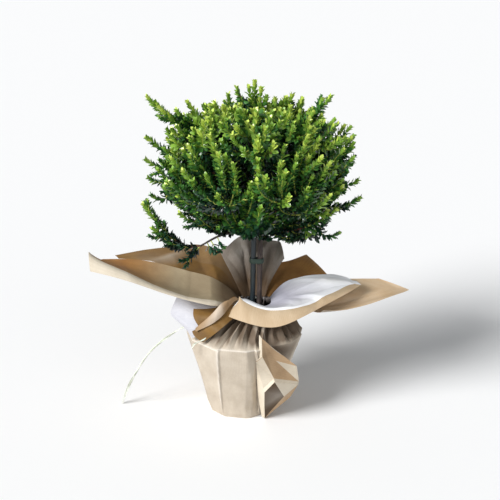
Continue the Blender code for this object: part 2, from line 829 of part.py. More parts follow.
def mass(name, stem_start, tips, limbs, rng):
    """One mass: a stem, a core, shoots and the leaves along them, joined into one solid."""
    heart = HEARTS[name]
    pieces = new_collection(f"{name}_pieces")
    core(name, pieces, rng)
    twig(stem_start, heart, BOUGH_TIP_RADIUS, BOUGH_TIP_RADIUS, pieces)
    placed = []
    for tip in tips:
        end = tip - (tip - heart).normalized() * (LEAF_LENGTH * LEAF_SINK)
        if not fits([heart.lerp(end, part) for part in SHOOT_TESTS], name, limbs):
            continue
        twig(heart, end, TWIG_RADIUS, TWIG_RADIUS * TWIG_TAPER, pieces)
        for root, way, across in shoot_leaves(heart, tip, end, rng):
            points = leaf_points(root, way, across)
            middle = root + way * (LEAF_LENGTH * LEAF_MIDDLE)
            hidden = (points[1] - heart).length < core_radius(name) + BARE_RIM
            if hidden or any((middle - other).length < LEAF_SPACING for other in placed):
                continue
            if fits(points, name, limbs):
                leaf(points, pieces)
                placed.append(middle)
    join_pieces(f"foliage_{name}", pieces)
    return len(placed)


def join_pieces(name, pieces):
    """One solid from a collection of overlapping ones. Loose scraps and sealed hollows are dropped."""
    first = pieces.objects[0]
    pieces.objects.unlink(first)
    PARTS.objects.link(first)
    join = first.modifiers.new("join", "BOOLEAN")
    join.operation = "UNION"
    join.operand_type = "COLLECTION"
    join.collection = pieces
    join.solver = "MANIFOLD"
    joined = as_mesh(first)
    joined.name = name
    for obj in list(pieces.objects):
        bpy.data.objects.remove(obj, do_unlink=True)
    bpy.data.collections.remove(pieces)
    keep_largest_shell(joined)


def keep_largest_shell(obj):
    shape = bmesh.new()
    shape.from_mesh(obj.data)
    left = set(shape.faces)
    shells = []
    while left:
        shell = {left.pop()}
        grown = list(shell)
        while grown:
            for edge in grown.pop().edges:
                beside = left.intersection(edge.link_faces)
                left -= beside
                shell |= beside
                grown += beside
        shells.append(shell)
    shells.sort(key=len)
    scraps = [face for shell in shells[:-1] for face in shell]
    bmesh.ops.delete(shape, geom=scraps, context="FACES")
    shape.to_mesh(obj.data)
    shape.free()


def crown(clearance):
    """The boughs, and every mass of foliage clear of them and of each other."""
    routes = boughs(clearance)
    stem_points = [Vector(point) * MM for point in STEM_ROUTE]
    limbs = [(start, end, STEM_ROOM) for start, end in zip(stem_points, stem_points[1:])]
    limbs.append((Vector(STAKE_FOOT), Vector(STAKE_TOP), STAKE_ROOM))
    for route in routes.values():
        limbs += [(start, end, BOUGH_ROOM) for start, end in zip(route, route[1:])]
    rng = random.Random(SEED)
    tips = shoot_tips()
    leaves = 0
    for name in HEARTS:
        if name == "cap":
            start = stem_middle(STEM_TIP_HEIGHT) + Vector((0, 0, GAP))
        else:
            end = routes[name][-1]
            end_way = (end - routes[name][-2]).normalized()
            turn = end_way.angle(HEARTS[name] - end)
            start = end + end_way * (GAP + BOUGH_TIP_RADIUS * math.sin(turn))
        leaves += mass(name, start, tips[name], limbs, rng)
    print("leaves", leaves)


def main():
    pot()
    compost, soil_top = soil()
    sleeve()
    gathered_neck()
    raffia()
    for name, rows in COLLAR.items():
        sheet(name, rows)
    sheet("folded_ear", FOLDED_EAR, levels=0)
    stake(compost)
    stake_tie()
    crown(stem(soil_top))


main()
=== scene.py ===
# %% [markdown]
# # A potted myrtle in kraft paper
#
# A small shrub with hundreds of short leafy shoots stands on one thin stem, tied to a cane. Its
# pot is wrapped in brown paper that is gathered round the stem, tied with raffia and spread out
# as a collar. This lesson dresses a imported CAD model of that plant. The CAD model gives every size
# and place, and each step here makes the looks of one part: the raffia, the paper, the wood, and
# last the crown, which grows by a rule.

import math
import random

import bmesh
import bpy
import numpy as np
from mathutils import Matrix, Vector, noise


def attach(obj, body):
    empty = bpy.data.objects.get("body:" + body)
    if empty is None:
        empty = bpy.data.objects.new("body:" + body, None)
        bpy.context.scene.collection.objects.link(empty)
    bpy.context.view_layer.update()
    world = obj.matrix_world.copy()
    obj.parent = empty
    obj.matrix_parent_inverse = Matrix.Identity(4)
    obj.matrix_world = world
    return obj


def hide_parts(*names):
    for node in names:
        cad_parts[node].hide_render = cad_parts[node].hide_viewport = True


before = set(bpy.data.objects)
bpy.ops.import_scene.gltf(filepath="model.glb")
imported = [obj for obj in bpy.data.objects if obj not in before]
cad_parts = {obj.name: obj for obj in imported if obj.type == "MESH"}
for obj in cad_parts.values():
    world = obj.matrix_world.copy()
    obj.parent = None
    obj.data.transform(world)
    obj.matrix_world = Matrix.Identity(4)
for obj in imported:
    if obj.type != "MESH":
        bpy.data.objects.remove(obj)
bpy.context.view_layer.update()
MM = 0.001


def new_object(name, data):
    """An object at the origin, linked to the scene."""
    obj = bpy.data.objects.new(name, data)
    bpy.context.scene.collection.objects.link(obj)
    return obj


print("nodes", len(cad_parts))

# %% [markdown]
# ## Camera
#
# The picture is taken from straight in front and a little above, so that the paper collar opens
# towards us. A view from further off with a longer lens would flatten the collar. A camera 1.25 m
# away keeps the slight perspective of a hand-held photo. The lens follows from the width that the
# picture has to cover at that distance.

# %% Camera
VIEW_MIDDLE = Vector((0.011, 0.0, 0.230))
VIEW_DISTANCE = 1.25
VIEW_DROP = math.radians(20)
VIEW_WIDTH = 0.675
SENSOR_WIDTH = 36.0


def add_camera():
    data = bpy.data.cameras.new("camera")
    data.sensor_width = SENSOR_WIDTH
    data.lens = SENSOR_WIDTH * VIEW_DISTANCE / VIEW_WIDTH
    camera = new_object("camera", data)
    away = Vector((0, -math.cos(VIEW_DROP), math.sin(VIEW_DROP)))
    camera.location = VIEW_MIDDLE + away * VIEW_DISTANCE
    camera.rotation_euler = (-away).to_track_quat("-Z", "Y").to_euler()
    bpy.context.scene.camera = camera
    return camera


print("lens in mm", round(add_camera().data.lens, 2))

# %% [markdown]
# ## Light and floor
#
# Soft studio light comes from large bright surfaces. A sun lamp with a wide angle gives the same
# soft-edged shadow everywhere and lights the floor evenly, so the floor stays one pale tone up to
# the horizon. The main lamp stands high at the front left. A weaker one fills from the right, and
# a pale sky lights what both miss.

# %% Light and floor
# Each lamp's strength, then in degrees its softness, its bearing from the front and its height
LAMPS = {"main_light": (4.0, 28, -54, 34), "fill_light": (0.25, 60, 25, 30)}
SKY_STRENGTH, SKY_COLOUR = 0.30, (0.94, 0.97, 1.0, 1.0)
FLOOR_COLOUR = (0.93, 0.93, 0.93, 1.0)
FLOOR_HALF, FLOOR_DROP = 25.0, 0.0003


def add_light(name, strength, softness, bearing, height):
    data = bpy.data.lights.new(name, "SUN")
    data.energy = strength
    data.angle = math.radians(softness)
    turn, rise = math.radians(bearing), math.radians(height)
    towards = Vector((math.sin(turn) * math.cos(rise), -math.cos(turn) * math.cos(rise), math.sin(rise)))
    new_object(name, data).rotation_euler = towards.to_track_quat("Z", "Y").to_euler()


def add_sky():
    sky = bpy.data.worlds.new("sky")
    sky.use_nodes = True
    backdrop = sky.node_tree.nodes["Background"]
    backdrop.inputs["Color"].default_value = SKY_COLOUR
    backdrop.inputs["Strength"].default_value = SKY_STRENGTH
    bpy.context.scene.world = sky


def add_floor():
    mesh = bpy.data.meshes.new("floor")
    signs = [(-1, -1), (1, -1), (1, 1), (-1, 1)]
    corners = [(x * FLOOR_HALF, y * FLOOR_HALF, -FLOOR_DROP) for x, y in signs]
    mesh.from_pydata(corners, [], [(0, 1, 2, 3)])
    material = bpy.data.materials.new("pale_floor")
    material.use_nodes = True
    shader = material.node_tree.nodes["Principled BSDF"]
    shader.inputs["Base Color"].default_value = FLOOR_COLOUR
    shader.inputs["Roughness"].default_value = 1.0
    shader.inputs["Specular IOR Level"].default_value = 0.0
    mesh.materials.append(material)
    floor = new_object("floor", mesh)


for lamp, values in LAMPS.items():
    add_light(lamp, *values)
add_sky()
add_floor()
bpy.context.scene.view_settings.view_transform = "Standard"
print("lamps", len(LAMPS))

# %% [markdown]
# ## Node trees as Python
#
# Materials and Geometry Nodes are both graphs of nodes. Long lists of links are hard to read, so
# two small classes stand between. A Wire is one output of a node, and sums and products of wires
# add their own Math nodes. A Graph adds any node in one call: its type, its settings, and what
# goes into its sockets.


# %% Wires and graphs
class Wire:
    """One output of a node. Arithmetic on it adds Math nodes."""

    def __init__(self, graph, socket):
        self.graph = graph
        self.socket = socket

    def output(self, name):
        """Another output of the same node."""
        return Wire(self.graph, self.socket.node.outputs[name])

    def __add__(self, other):
        return self.graph.maths("ADD", self, other)

    def __radd__(self, other):
        return self.graph.maths("ADD", other, self)

    def __rsub__(self, other):
        return self.graph.maths("SUBTRACT", other, self)

    def __mul__(self, other):
        return self.graph.maths("MULTIPLY", self, other)


class Graph:
    """A node tree that is filled by calls."""

    def __init__(self, tree):
        self.tree = tree

    def node(self, kind, settings=None, inputs=None, output=0):
        made = self.tree.nodes.new(kind)
        for name, value in (settings or {}).items():
            setattr(made, name, value)
        for key, value in (inputs or {}).items():
            if isinstance(value, Wire):
                self.tree.links.new(value.socket, made.inputs[key])
            else:
                made.inputs[key].default_value = value
        return Wire(self, made.outputs[output]) if made.outputs else None

    def maths(self, operation, *values):
        return self.node("ShaderNodeMath", {"operation": operation}, dict(enumerate(values)))

    def vector(self, operation, inputs):
        return self.node("ShaderNodeVectorMath", {"operation": operation}, inputs)

    def spread(self, value, low, high):
        """Maps low..high of a value to 0..1, and no further."""
        return self.node("ShaderNodeMapRange", {"clamp": True}, {0: value, 1: low, 2: high})


# %% [markdown]
# ## Materials
#
# A finish is a Principled shader with a few fixed numbers and a few sockets that change over the
# surface. Colours are written the way a picture editor shows them and turned to linear light,
# which is what a shader mixes.


# %% Colours and finishes
def colour(code):
    """A colour such as D8C6A5 as linear red, green, blue and alpha."""
    parts = [int(code[i : i + 2], 16) / 255 for i in (0, 2, 4)]
    linear = [part / 12.92 if part < 0.04045 else ((part + 0.055) / 1.055) ** 2.4 for part in parts]
    return (*linear, 1.0)


class Finish(Graph):
    """A material: fixed numbers by socket name, then what varies."""

    def __init__(self, name, fixed):
        self.material = bpy.data.materials.new(name)
        self.material.use_nodes = True
        super().__init__(self.material.node_tree)
        self.shader = self.tree.nodes["Principled BSDF"]
        for socket, value in fixed.items():
            self.shader.inputs[socket].default_value = value

    def feed(self, socket, wire):
        self.tree.links.new(wire.socket, self.shader.inputs[socket])

    def place(self):
        return self.node("ShaderNodeTexCoord", output="Object")

    def stretched(self, place, scale):
        return self.node("ShaderNodeMapping", {}, {"Vector": place, "Scale": scale})

    def noise(self, place, scale, detail, roughness=0.5):
        inputs = {"Vector": place, "Scale": scale, "Detail": detail, "Roughness": roughness}
        return self.node("ShaderNodeTexNoise", {}, inputs)

    def mix(self, share, first, second):
        """A colour between two: wire or fixed share, wires or fixed colours."""
        return self.node("ShaderNodeMix", {"data_type": "RGBA"}, {0: share, 6: first, 7: second}, 2)

    def bump(self, height, depth, strength=1.0):
        """Feeds a height, in parts of a depth in metres, to the surface normal."""
        inputs = {"Height": height, "Distance": depth, "Strength": strength}
        self.feed("Normal", self.node("ShaderNodeBump", {}, inputs))


# %% Finishes with a grain
EVEN = (1, 1, 1)
WHOLE = (0.0, 1.0)


def grained(name, rough, stretch, grain, span, tones, relief):
    """A finish that goes between two tones with a noise, and has bumps of the same noise."""
    finish = Finish(name, {"Roughness": rough})
    pattern = finish.noise(finish.stretched(finish.place(), stretch), *grain)
    finish.tone = finish.mix(finish.spread(pattern, *span), *map(colour, tones))
    finish.feed("Base Color", finish.tone)
    finish.bump(pattern, *relief)
    print("finish", name)
    return finish


def add_patches(finish, grain, span, strength, tone):
    """Lays patches of a third tone over a grained finish."""
    share = finish.spread(finish.noise(finish.place(), *grain), *span) * strength
    finish.feed("Base Color", finish.mix(share, finish.tone, colour(tone)))


# %% [markdown]
# ## Geometry Nodes from the script
#
# What repeats or follows a path, such as strands, twigs and leaves, comes from a node tree with
# named inputs. The tree works on a bare mesh of points or lines that the script lays out. Its
# result is then frozen into a plain mesh, so that nothing is left to compute later.


# %% Build, run and freeze a node tree
def new_tree(name, inputs):
    """A Geometry Nodes tree with named inputs, and the wires of those inputs."""
    tree = bpy.data.node_groups.new(name, "GeometryNodeTree")
    tree.interface.new_socket("Geometry", in_out="INPUT", socket_type="NodeSocketGeometry")
    for label, kind in inputs.items():
        tree.interface.new_socket(label, in_out="INPUT", socket_type=f"NodeSocket{kind}")
    tree.interface.new_socket("Geometry", in_out="OUTPUT", socket_type="NodeSocketGeometry")
    graph = Graph(tree)
    source = graph.node("NodeGroupInput")
    wires = {label: source.output(label) for label in ("Geometry", *inputs)}
    return graph, wires


def close_tree(graph, geometry, materials, number=None, smooth=True):
    """Ends a tree: instances become mesh, and each face takes the material of its number."""
    whole = graph.node("GeometryNodeRealizeInstances", {}, {"Geometry": geometry})
    if smooth:
        whole = graph.node("GeometryNodeSetShadeSmooth", {}, {"Geometry": whole})
    for place, material in enumerate(materials):
        inputs = {"Geometry": whole, "Material": material}
        if number is not None:
            equal = {"data_type": "INT", "operation": "EQUAL"}
            inputs["Selection"] = graph.node("FunctionNodeCompare", equal, {2: number, 3: place})
        whole = graph.node("GeometryNodeSetMaterial", {}, inputs)
    graph.node("NodeGroupOutput", {}, {"Geometry": whole})
    print(graph.tree.name, len(graph.tree.nodes), "nodes")


def circle(graph, sides, radius):
    inputs = {"Resolution": sides, "Radius": radius}
    return graph.node("GeometryNodeCurvePrimitiveCircle", {}, inputs)


def tube(graph, line, section, scale):
    """A tube along a line, closed at its ends."""
    inputs = {"Curve": line, "Profile Curve": section, "Scale": scale, "Fill Caps": True}
    return graph.node("GeometryNodeCurveToMesh", {}, inputs)


def frozen(obj):
    """Turns an object's modifiers into its own plain mesh."""
    graph = bpy.context.evaluated_depsgraph_get()
    mesh = bpy.data.meshes.new_from_object(obj.evaluated_get(graph))
    obj.modifiers.clear()
    obj.data = mesh
    return obj


def run_tree(name, mesh, tree, values):
    """An object whose mesh is the tree's result."""
    obj = new_object(name, mesh)
    modifier = obj.modifiers.new(tree.name, "NODES")
    modifier.node_group = tree
    for item in tree.interface.items_tree:
        if item.in_out == "INPUT" and item.name in values:
            modifier[item.identifier] = values[item.name]
    return frozen(obj)


def store(mesh, label, kind, values):
    """Keeps a number or a direction on every point."""
    layer = mesh.attributes.new(label, kind, "POINT")
    layer.data.foreach_set("vector" if kind == "FLOAT_VECTOR" else "value", np.ravel(values))


def line_mesh(name, lines):
    """Chains of points joined by edges."""
    points = [point for line in lines for point in line]
    edges = []
    first = 0
    for line in lines:
        edges += [(first + i, first + i + 1) for i in range(len(line) - 1)]
        first += len(line)
    mesh = bpy.data.meshes.new(name)
    mesh.from_pydata(points, edges, [])
    return mesh


# %% From a bmesh to a piece of the part
def mesh_from(shape, name, finishes=()):
    """A plain mesh from a bmesh, which is freed."""
    mesh = bpy.data.meshes.new(name)
    shape.to_mesh(mesh)
    shape.free()
    for finish in finishes:
        mesh.materials.append(finish.material)
    return mesh


def shade(mesh, angle):
    """Smooth faces, with edges sharper than an angle left crisp."""
    mesh.shade_smooth()
    mesh.set_sharp_from_angle(angle=math.radians(angle))


def stand_for(piece, slot, *nodes):
    """Fixes a piece to the part, in place of CAD nodes. Its slot is not used."""
    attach(piece, "root")
    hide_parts(*nodes)
    return piece


# %% [markdown]
# ## Raffia ends
#
# Raffia is a strip of dried palm leaf. Tied round the paper it leaves one long end, which runs
# down to the table and splits into a few stiff strands, and one short end. Each end is a bundle
# of thin flat strands that wind slowly round one line. A node tree copies the line once per
# strand, moves each copy off the middle and gives it a flat section. The line is the route of the
# CAD model's own solid, so the strands lie where it lies.

# %% The routes of the two raffia ends, in millimetres
TAIL_WIDTH, SHORT_END_WIDTH = 0.0040, 0.0028
TAIL_ROUTE = [
    (-12.6, -9.8, 150.4), (-28, -19, 147), (-48, -27, 142), (-66, -32, 137), (-84, -37, 130),
    (-107, -33, 112), (-134, -24, 80), (-155, -15, 42), (-166, -10, 16), (-172, -8, 1.2),
]
SHORT_END_ROUTE = [
    (-9.8, -17.6, 150.4), (-20, -33, 141.5), (-34, -48, 133), (-50, -60, 125.5),
    (-62, -60, 119.5), (-68, -57, 110),
]


def smooth_path(points, steps):
    """Points read from a smooth curve through the given ones."""
    ends = [points[0] * 2 - points[1]] + points + [points[-1] * 2 - points[-2]]
    path = []
    for before, start, end, after in zip(ends, ends[1:], ends[2:], ends[3:]):
        for step in range(steps):
            t = step / steps
            path.append(
                start
                + (end - before) * (t / 2)
                + (before * 2 - start * 5 + end * 4 - after) * (t * t / 2)
                + (start * 3 - before - end * 3 + after) * (t**3 / 2)
            )
    return path + [points[-1]]


def metres(points):
    return [Vector(point) * MM for point in points]


def length_of(path):
    return sum((b - a).length for a, b in zip(path, path[1:]))


# %% Raffia finish: pale, dry and lightly ribbed
raffia = grained("raffia", 0.55, EVEN, (900, 3), (0.35, 0.65), ("BDC5B2", "F0F1E6"), (0.0002, 0.6))

# %% The tree that turns a line into a bundle of flat strands
# From one strand to the next: bearing and tilt in radians, and share of a turn
STRAND_BEARING, STRAND_TILT, STRAND_TURN = 2.4, 1.1, 0.3
# The share of the line after which strands part and narrow, and how much they narrow
FRAY_FROM, STRAND_NARROWING = 0.72, 0.45
STRAND_SIDES = 8

strand_inputs = dict.fromkeys(("Strands", "Steps"), "Int")
strand_inputs |= dict.fromkeys(("Spread", "Turns", "Width", "Thickness", "Fray"), "Float")
strands, given = new_tree("raffia_strands", strand_inputs)
line = strands.node("GeometryNodeMeshToCurve", {}, {"Mesh": given["Geometry"]})
line = strands.node("GeometryNodeResampleCurve", {}, {"Curve": line, "Count": given["Steps"]})
amount = {"Geometry": line, "Amount": given["Strands"]}
copies = strands.node("GeometryNodeDuplicateElements", {"domain": "SPLINE"}, amount)
number = copies.output("Duplicate Index")
along = strands.node("GeometryNodeSplineParameter", output="Factor")
turned = along * given["Turns"] * (number * STRAND_TURN + 1) * (2 * math.pi)
bearing = number * STRAND_BEARING + turned
open_end = strands.spread(along, FRAY_FROM, 1.0)
off = given["Spread"] * (1 + open_end * given["Fray"])
side = strands.node("GeometryNodeInputNormal")
ahead = strands.node("GeometryNodeInputTangent")
across = strands.vector("CROSS_PRODUCT", {0: ahead, 1: side})
to_side = strands.vector("SCALE", {0: side, "Scale": strands.maths("COSINE", bearing) * off})
to_across = strands.vector("SCALE", {0: across, "Scale": strands.maths("SINE", bearing) * off})
shift = strands.vector("ADD", {0: to_side, 1: to_across})
moved = strands.node("GeometryNodeSetPosition", {}, {"Geometry": copies, "Offset": shift})
tilt = bearing + number * STRAND_TILT
tilted = strands.node("GeometryNodeSetCurveTilt", {}, {"Curve": moved, "Tilt": tilt})
sizes = {"X": given["Width"], "Y": given["Thickness"], "Z": 1.0}
flat = strands.node("ShaderNodeCombineXYZ", {}, sizes)
ring = circle(strands, STRAND_SIDES, 0.5)
section = strands.node("GeometryNodeTransform", {}, {"Geometry": ring, "Scale": flat})
strip = tube(strands, tilted, section, 1 - open_end * STRAND_NARROWING)
close_tree(strands, strip, [raffia.material])

STRAND_SPREAD, STRAND_WIDTH, STRAND_THICKNESS = 0.22, 0.5, 0.14
END_TURNS, END_STEPS, ROUTE_PARTS = 1.5, 90, 4


def raffia_end(name, route, width, count, fray):
    path = smooth_path(metres(route), ROUTE_PARTS)
    values = {
        "Strands": count,
        "Spread": width * STRAND_SPREAD,
        "Turns": END_TURNS,
        "Width": width * STRAND_WIDTH,
        "Thickness": width * STRAND_THICKNESS,
        "Fray": fray,
        "Steps": END_STEPS,
    }
    end = run_tree(name, line_mesh(name, [path]), strands.tree, values)
    stand_for(end, "raffia", name)
    tuple(path[0])
    length_of(path)
    [tuple(point) for point in path]
    print(name, "length", round(length_of(path), 4))


raffia_end("raffia_tail", TAIL_ROUTE, TAIL_WIDTH, count=4, fray=1.0)
raffia_end("raffia_short_end", SHORT_END_ROUTE, SHORT_END_WIDTH, count=3, fray=0.6)

# %% [markdown]
# ## Kraft paper
#
# Brown kraft paper is long pine fibres pressed flat. It shows a soft mottle, fine fibres along
# the way the machine ran, and faint straight ribs. One side of this wrap is brown and the other
# is bleached white. The pattern has to follow the sheet as it bends, so it reads the sheet's own
# map, which is in metres and laid out with the sheet.


# %% Paper finishes
# Painted shade in crease valleys, and wear with painted highlight on crease ridges
VALLEY_SHADE_TONE, RIDGE_WEAR_AND_HIGHLIGHT_TONE = colour("513E2C"), colour("F6EFE4")
VALLEY_SHADE_STRENGTH, RIDGE_WEAR_AND_HIGHLIGHT_STRENGTH = 0.82, 0.6
# Shade and wear is this on flat paper: less in valleys, for painted shade, and more on ridges, for
# wear and painted highlight
FLAT_SHADE_AND_WEAR = 0.5
MOTTLE, FIBRES, FIBRE_STRETCH = (45, 4, 0.6), (1.0, 3, 0.6), (260, 1500, 1)
NOISE_SPAN = (0.3, 0.7)
RIBS = {"Scale": 130.0, "Distortion": 0.6, "Detail": 1.0}
# Shares of mottle, fibres and ribs in the tone and in the relief
TONE_SHARES, RELIEF_SHARES = (0.55, 0.3, 0.15), (0.8, 0.5, 0.2)
PAPER_RELIEF = (0.0007, 0.35)
# Warm kraft made paler than the paper, as painted light on the sheet under the right wing, which lies in
# its shadow; the far end of the wing's outer side takes the same tones
WARM_TONES = ("E2BD8F", "F6E0C2")
# Roughness and two tones, and for some two more tones at the sheet's far end and the stretch of
# the map, in metres, over which they come in
PAPERS = {
    "kraft_outside": (0.62, ("AFA18F", "CCC1B1")),
    # Paler kraft as painted light: the left wing's turned strip and the ear's facets that face the light
    "pale_kraft": (0.62, ("C3B6A1", "DED3C0")),
    "warm_kraft": (0.62, WARM_TONES),
    "wing_outside": (0.62, ("A18A6C", "BFAA8D"), WARM_TONES, (0.08, 0.16)),
    "wing_inside": (0.66, ("9C8B70", "B7A688"), ("8F5A14", "B5781F"), (0.09, 0.17)),
    "kraft_inside": (0.66, ("845C30", "A97D48")),
    # Darker tones as painted shade: the back left sheet lies in shade behind the left wing
    "back_left": (0.66, ("6F5739", "927753"), ("7A5A30", "957243"), (0.05, 0.16)),
    # Darker brown kraft, painted shade under the front tongue and on the back left sheet's front row; on
    # the white flap's neck it is partly its brown side and partly painted shade
    "brown_fold": (0.66, ("6E4F27", "92703E")),
    "shaded_kraft": (0.64, ("8E7353", "B09372")),
    # Browner and darker kraft, painted shade on the ear's facets that face away from the light
    "ear_brown": (0.64, ("A88A68", "C9AC8A")),
    "dark_fold": (0.64, ("453524", "64503A")),
    # White paper, lilac-grey near the neck as painted shade
    "white_side": (0.6, ("A6A5B2", "C4C3CE"), ("E0E1E6", "F5F6F8"), (0.02, 0.07)),
    "flap_white": (0.6, ("B6B6BD", "CBCBD1")),
    # Pale tissue, dark brown near the neck as painted shade behind the stem
    "tissue": (0.55, ("453424", "7A6650"), ("8C8379", "BCB5AC"), (0.025, 0.075)),
}


def weighed(wires, shares):
    """The sum of three wires, each times its share."""
    first, second, third = (wire * share for wire, share in zip(wires, shares))
    return first + second + third


def paper_finish(name, rough, near, far=None, change=None):
    """Paper between two tones, with painted shade in valleys and wear and painted highlight on ridges."""
    finish = Finish(name, {"Roughness": rough, "Specular IOR Level": 0.2})
    sheet_map = finish.node("ShaderNodeUVMap", {"uv_map": "paper"})
    mottle = finish.noise(sheet_map, *MOTTLE)
    fibres = finish.noise(finish.stretched(sheet_map, FIBRE_STRETCH), *FIBRES)
    bands = {"wave_type": "BANDS", "bands_direction": "Y", "wave_profile": "SIN"}
    ribs = finish.node("ShaderNodeTexWave", bands, {"Vector": sheet_map, **RIBS})
    clear = (finish.spread(mottle, *NOISE_SPAN), finish.spread(fibres, *NOISE_SPAN), ribs)
    cloud = weighed(clear, TONE_SHARES)
    tone = finish.mix(cloud, *map(colour, near))
    if far:
        distance = finish.node("ShaderNodeSeparateXYZ", {}, {"Vector": sheet_map})
        tone = finish.mix(finish.spread(distance, *change), tone, finish.mix(cloud, *map(colour, far)))
    shade_and_wear = finish.node("ShaderNodeAttribute", {"attribute_name": "shade_and_wear"}, output="Fac")
    valley_shade = finish.mix(VALLEY_SHADE_STRENGTH, tone, VALLEY_SHADE_TONE)
    tone = finish.mix(finish.spread(shade_and_wear, 0.0, FLAT_SHADE_AND_WEAR), valley_shade, tone)
    ridge = finish.spread(shade_and_wear, FLAT_SHADE_AND_WEAR, 1.0)
    tone = finish.mix(ridge * ridge * RIDGE_WEAR_AND_HIGHLIGHT_STRENGTH, tone, RIDGE_WEAR_AND_HIGHLIGHT_TONE)
    finish.feed("Base Color", tone)
    finish.bump(weighed((mottle, fibres, ribs), RELIEF_SHARES), *PAPER_RELIEF)
    return finish


PAPER = {name: paper_finish(name, *look) for name, look in PAPERS.items()}
print("papers", len(PAPER))

# %% [markdown]
# ## Crushed paper
#
# Paper doesn't stretch. Crushed and spread out again, it keeps flat facets that meet in straight,
# sharp creases. Noise would give soft bumps, as on cloth. Instead each sheet gets a few families
# of straight parallel folds, each family turned another way. Within a family the height runs in
# straight lines from fold to fold. Added up, they give many-sided facets.


# %% Families of straight folds
# Shares of the pitch between folds, and waves for each pitch by which a fold fades and returns
FOLD_SPACING, FADE_PACE = (0.35, 1.65), (0.6, 1.4)
FADE_STARTS, FADE_MIDDLE, FADE_SWING = (0, 6.28), 0.55, 0.45
# Folds lie this far to both sides of the map's origin, in metres
MAP_HALF = 0.5
# Heights of so many crease depths make the whole range of painted shade and wear
SHADE_AND_WEAR_DEPTHS = 5


class Creases:
    """The height of crushed paper, from families of straight folds."""

    def __init__(self, seed, pitch, depth, families=4):
        draw = random.Random(seed)
        self.depth = depth
        self.families = []
        for _ in range(families):
            places = [-MAP_HALF]
            while places[-1] < MAP_HALF:
                places.append(places[-1] + pitch * draw.uniform(*FOLD_SPACING))
            heights = [depth * draw.uniform(-1, 1) for _ in places]
            fade = (draw.uniform(*FADE_STARTS), draw.uniform(*FADE_PACE) / pitch)
            self.families.append((draw.uniform(0, math.pi), places, heights, fade))

    def height(self, u, v):
        """How far the paper stands out at map places u, v (arrays, metres)."""
        total = np.zeros_like(u)
        for bearing, places, heights, (phase, pace) in self.families:
            across = u * math.cos(bearing) + v * math.sin(bearing)
            down = v * math.cos(bearing) - u * math.sin(bearing)
            share = FADE_MIDDLE + FADE_SWING * np.sin(phase + down * pace)
            total += np.interp(across, places, heights) * share
        return total


def read_array(items, label, width, kind=np.float64):
    """One row of numbers for each point or corner of a mesh."""
    values = np.empty(len(items) * width, dtype=kind)
    items.foreach_get(label, values)
    return values.reshape(-1, width)


def crush(mesh, creases, hold=None, ways=None, painted_light=None):
    """Moves a sheet's points by its creases, along their normals or given ways, and stores shade and
    wear.

    Valleys get painted shade and ridges wear with painted highlight. The last argument adds more
    painted highlight and painted shade by place.
    """
    points = read_array(mesh.vertices, "co", 3)
    normals = read_array(mesh.vertices, "normal", 3)
    corners = read_array(mesh.loops, "vertex_index", 1, np.int32)
    places = np.zeros((len(points), 2))
    places[corners[:, 0]] = read_array(mesh.uv_layers["paper"].uv, "vector", 2)
    heights = creases.height(places[:, 0], places[:, 1])
    if hold:
        heights = heights * hold(points)
    points = points + (ways(points) if ways else normals) * heights[:, None]
    mesh.vertices.foreach_set("co", points.ravel())
    shown = FLAT_SHADE_AND_WEAR + heights / (SHADE_AND_WEAR_DEPTHS * creases.depth)
    if painted_light:
        shown = shown + painted_light(points)
    store(mesh, "shade_and_wear", "FLOAT", np.clip(shown, 0, 1))
    mesh.update()


# %% Sheets as grids of faces
def new_sheet():
    """A bmesh with a map for paper, which is in metres."""
    shape = bmesh.new()
    return shape, shape.loops.layers.uv.new("paper")


def add_quads(shape, paper_map, grid, columns, place, turned=None):
    """Faces between rows of points, which close into rings where there is a column for each."""
    for j in range(len(grid) - 1):
        for i in range(columns):
            corners = [(j, i), (j, i + 1), (j + 1, i + 1), (j + 1, i)]
            face = shape.faces.new([grid[a][b % len(grid[a])] for a, b in corners])
            face.material_index = int(turned(j, i)) if turned else 0
            for loop, (a, b) in zip(face.loops, corners):
                loop[paper_map].uv = place(a, b)


# %% [markdown]
# ## Sheets of the collar
#
# Above the tie the paper opens into long wings and flaps. Each is one curved sheet. It is laid
# out as a coarse grid of points whose rows are its folds, rounded by subdivision, crushed a
# little, and then given the thickness of paper. The two faces take different finishes, because
# the wrap is brown outside and white or darker brown inside.

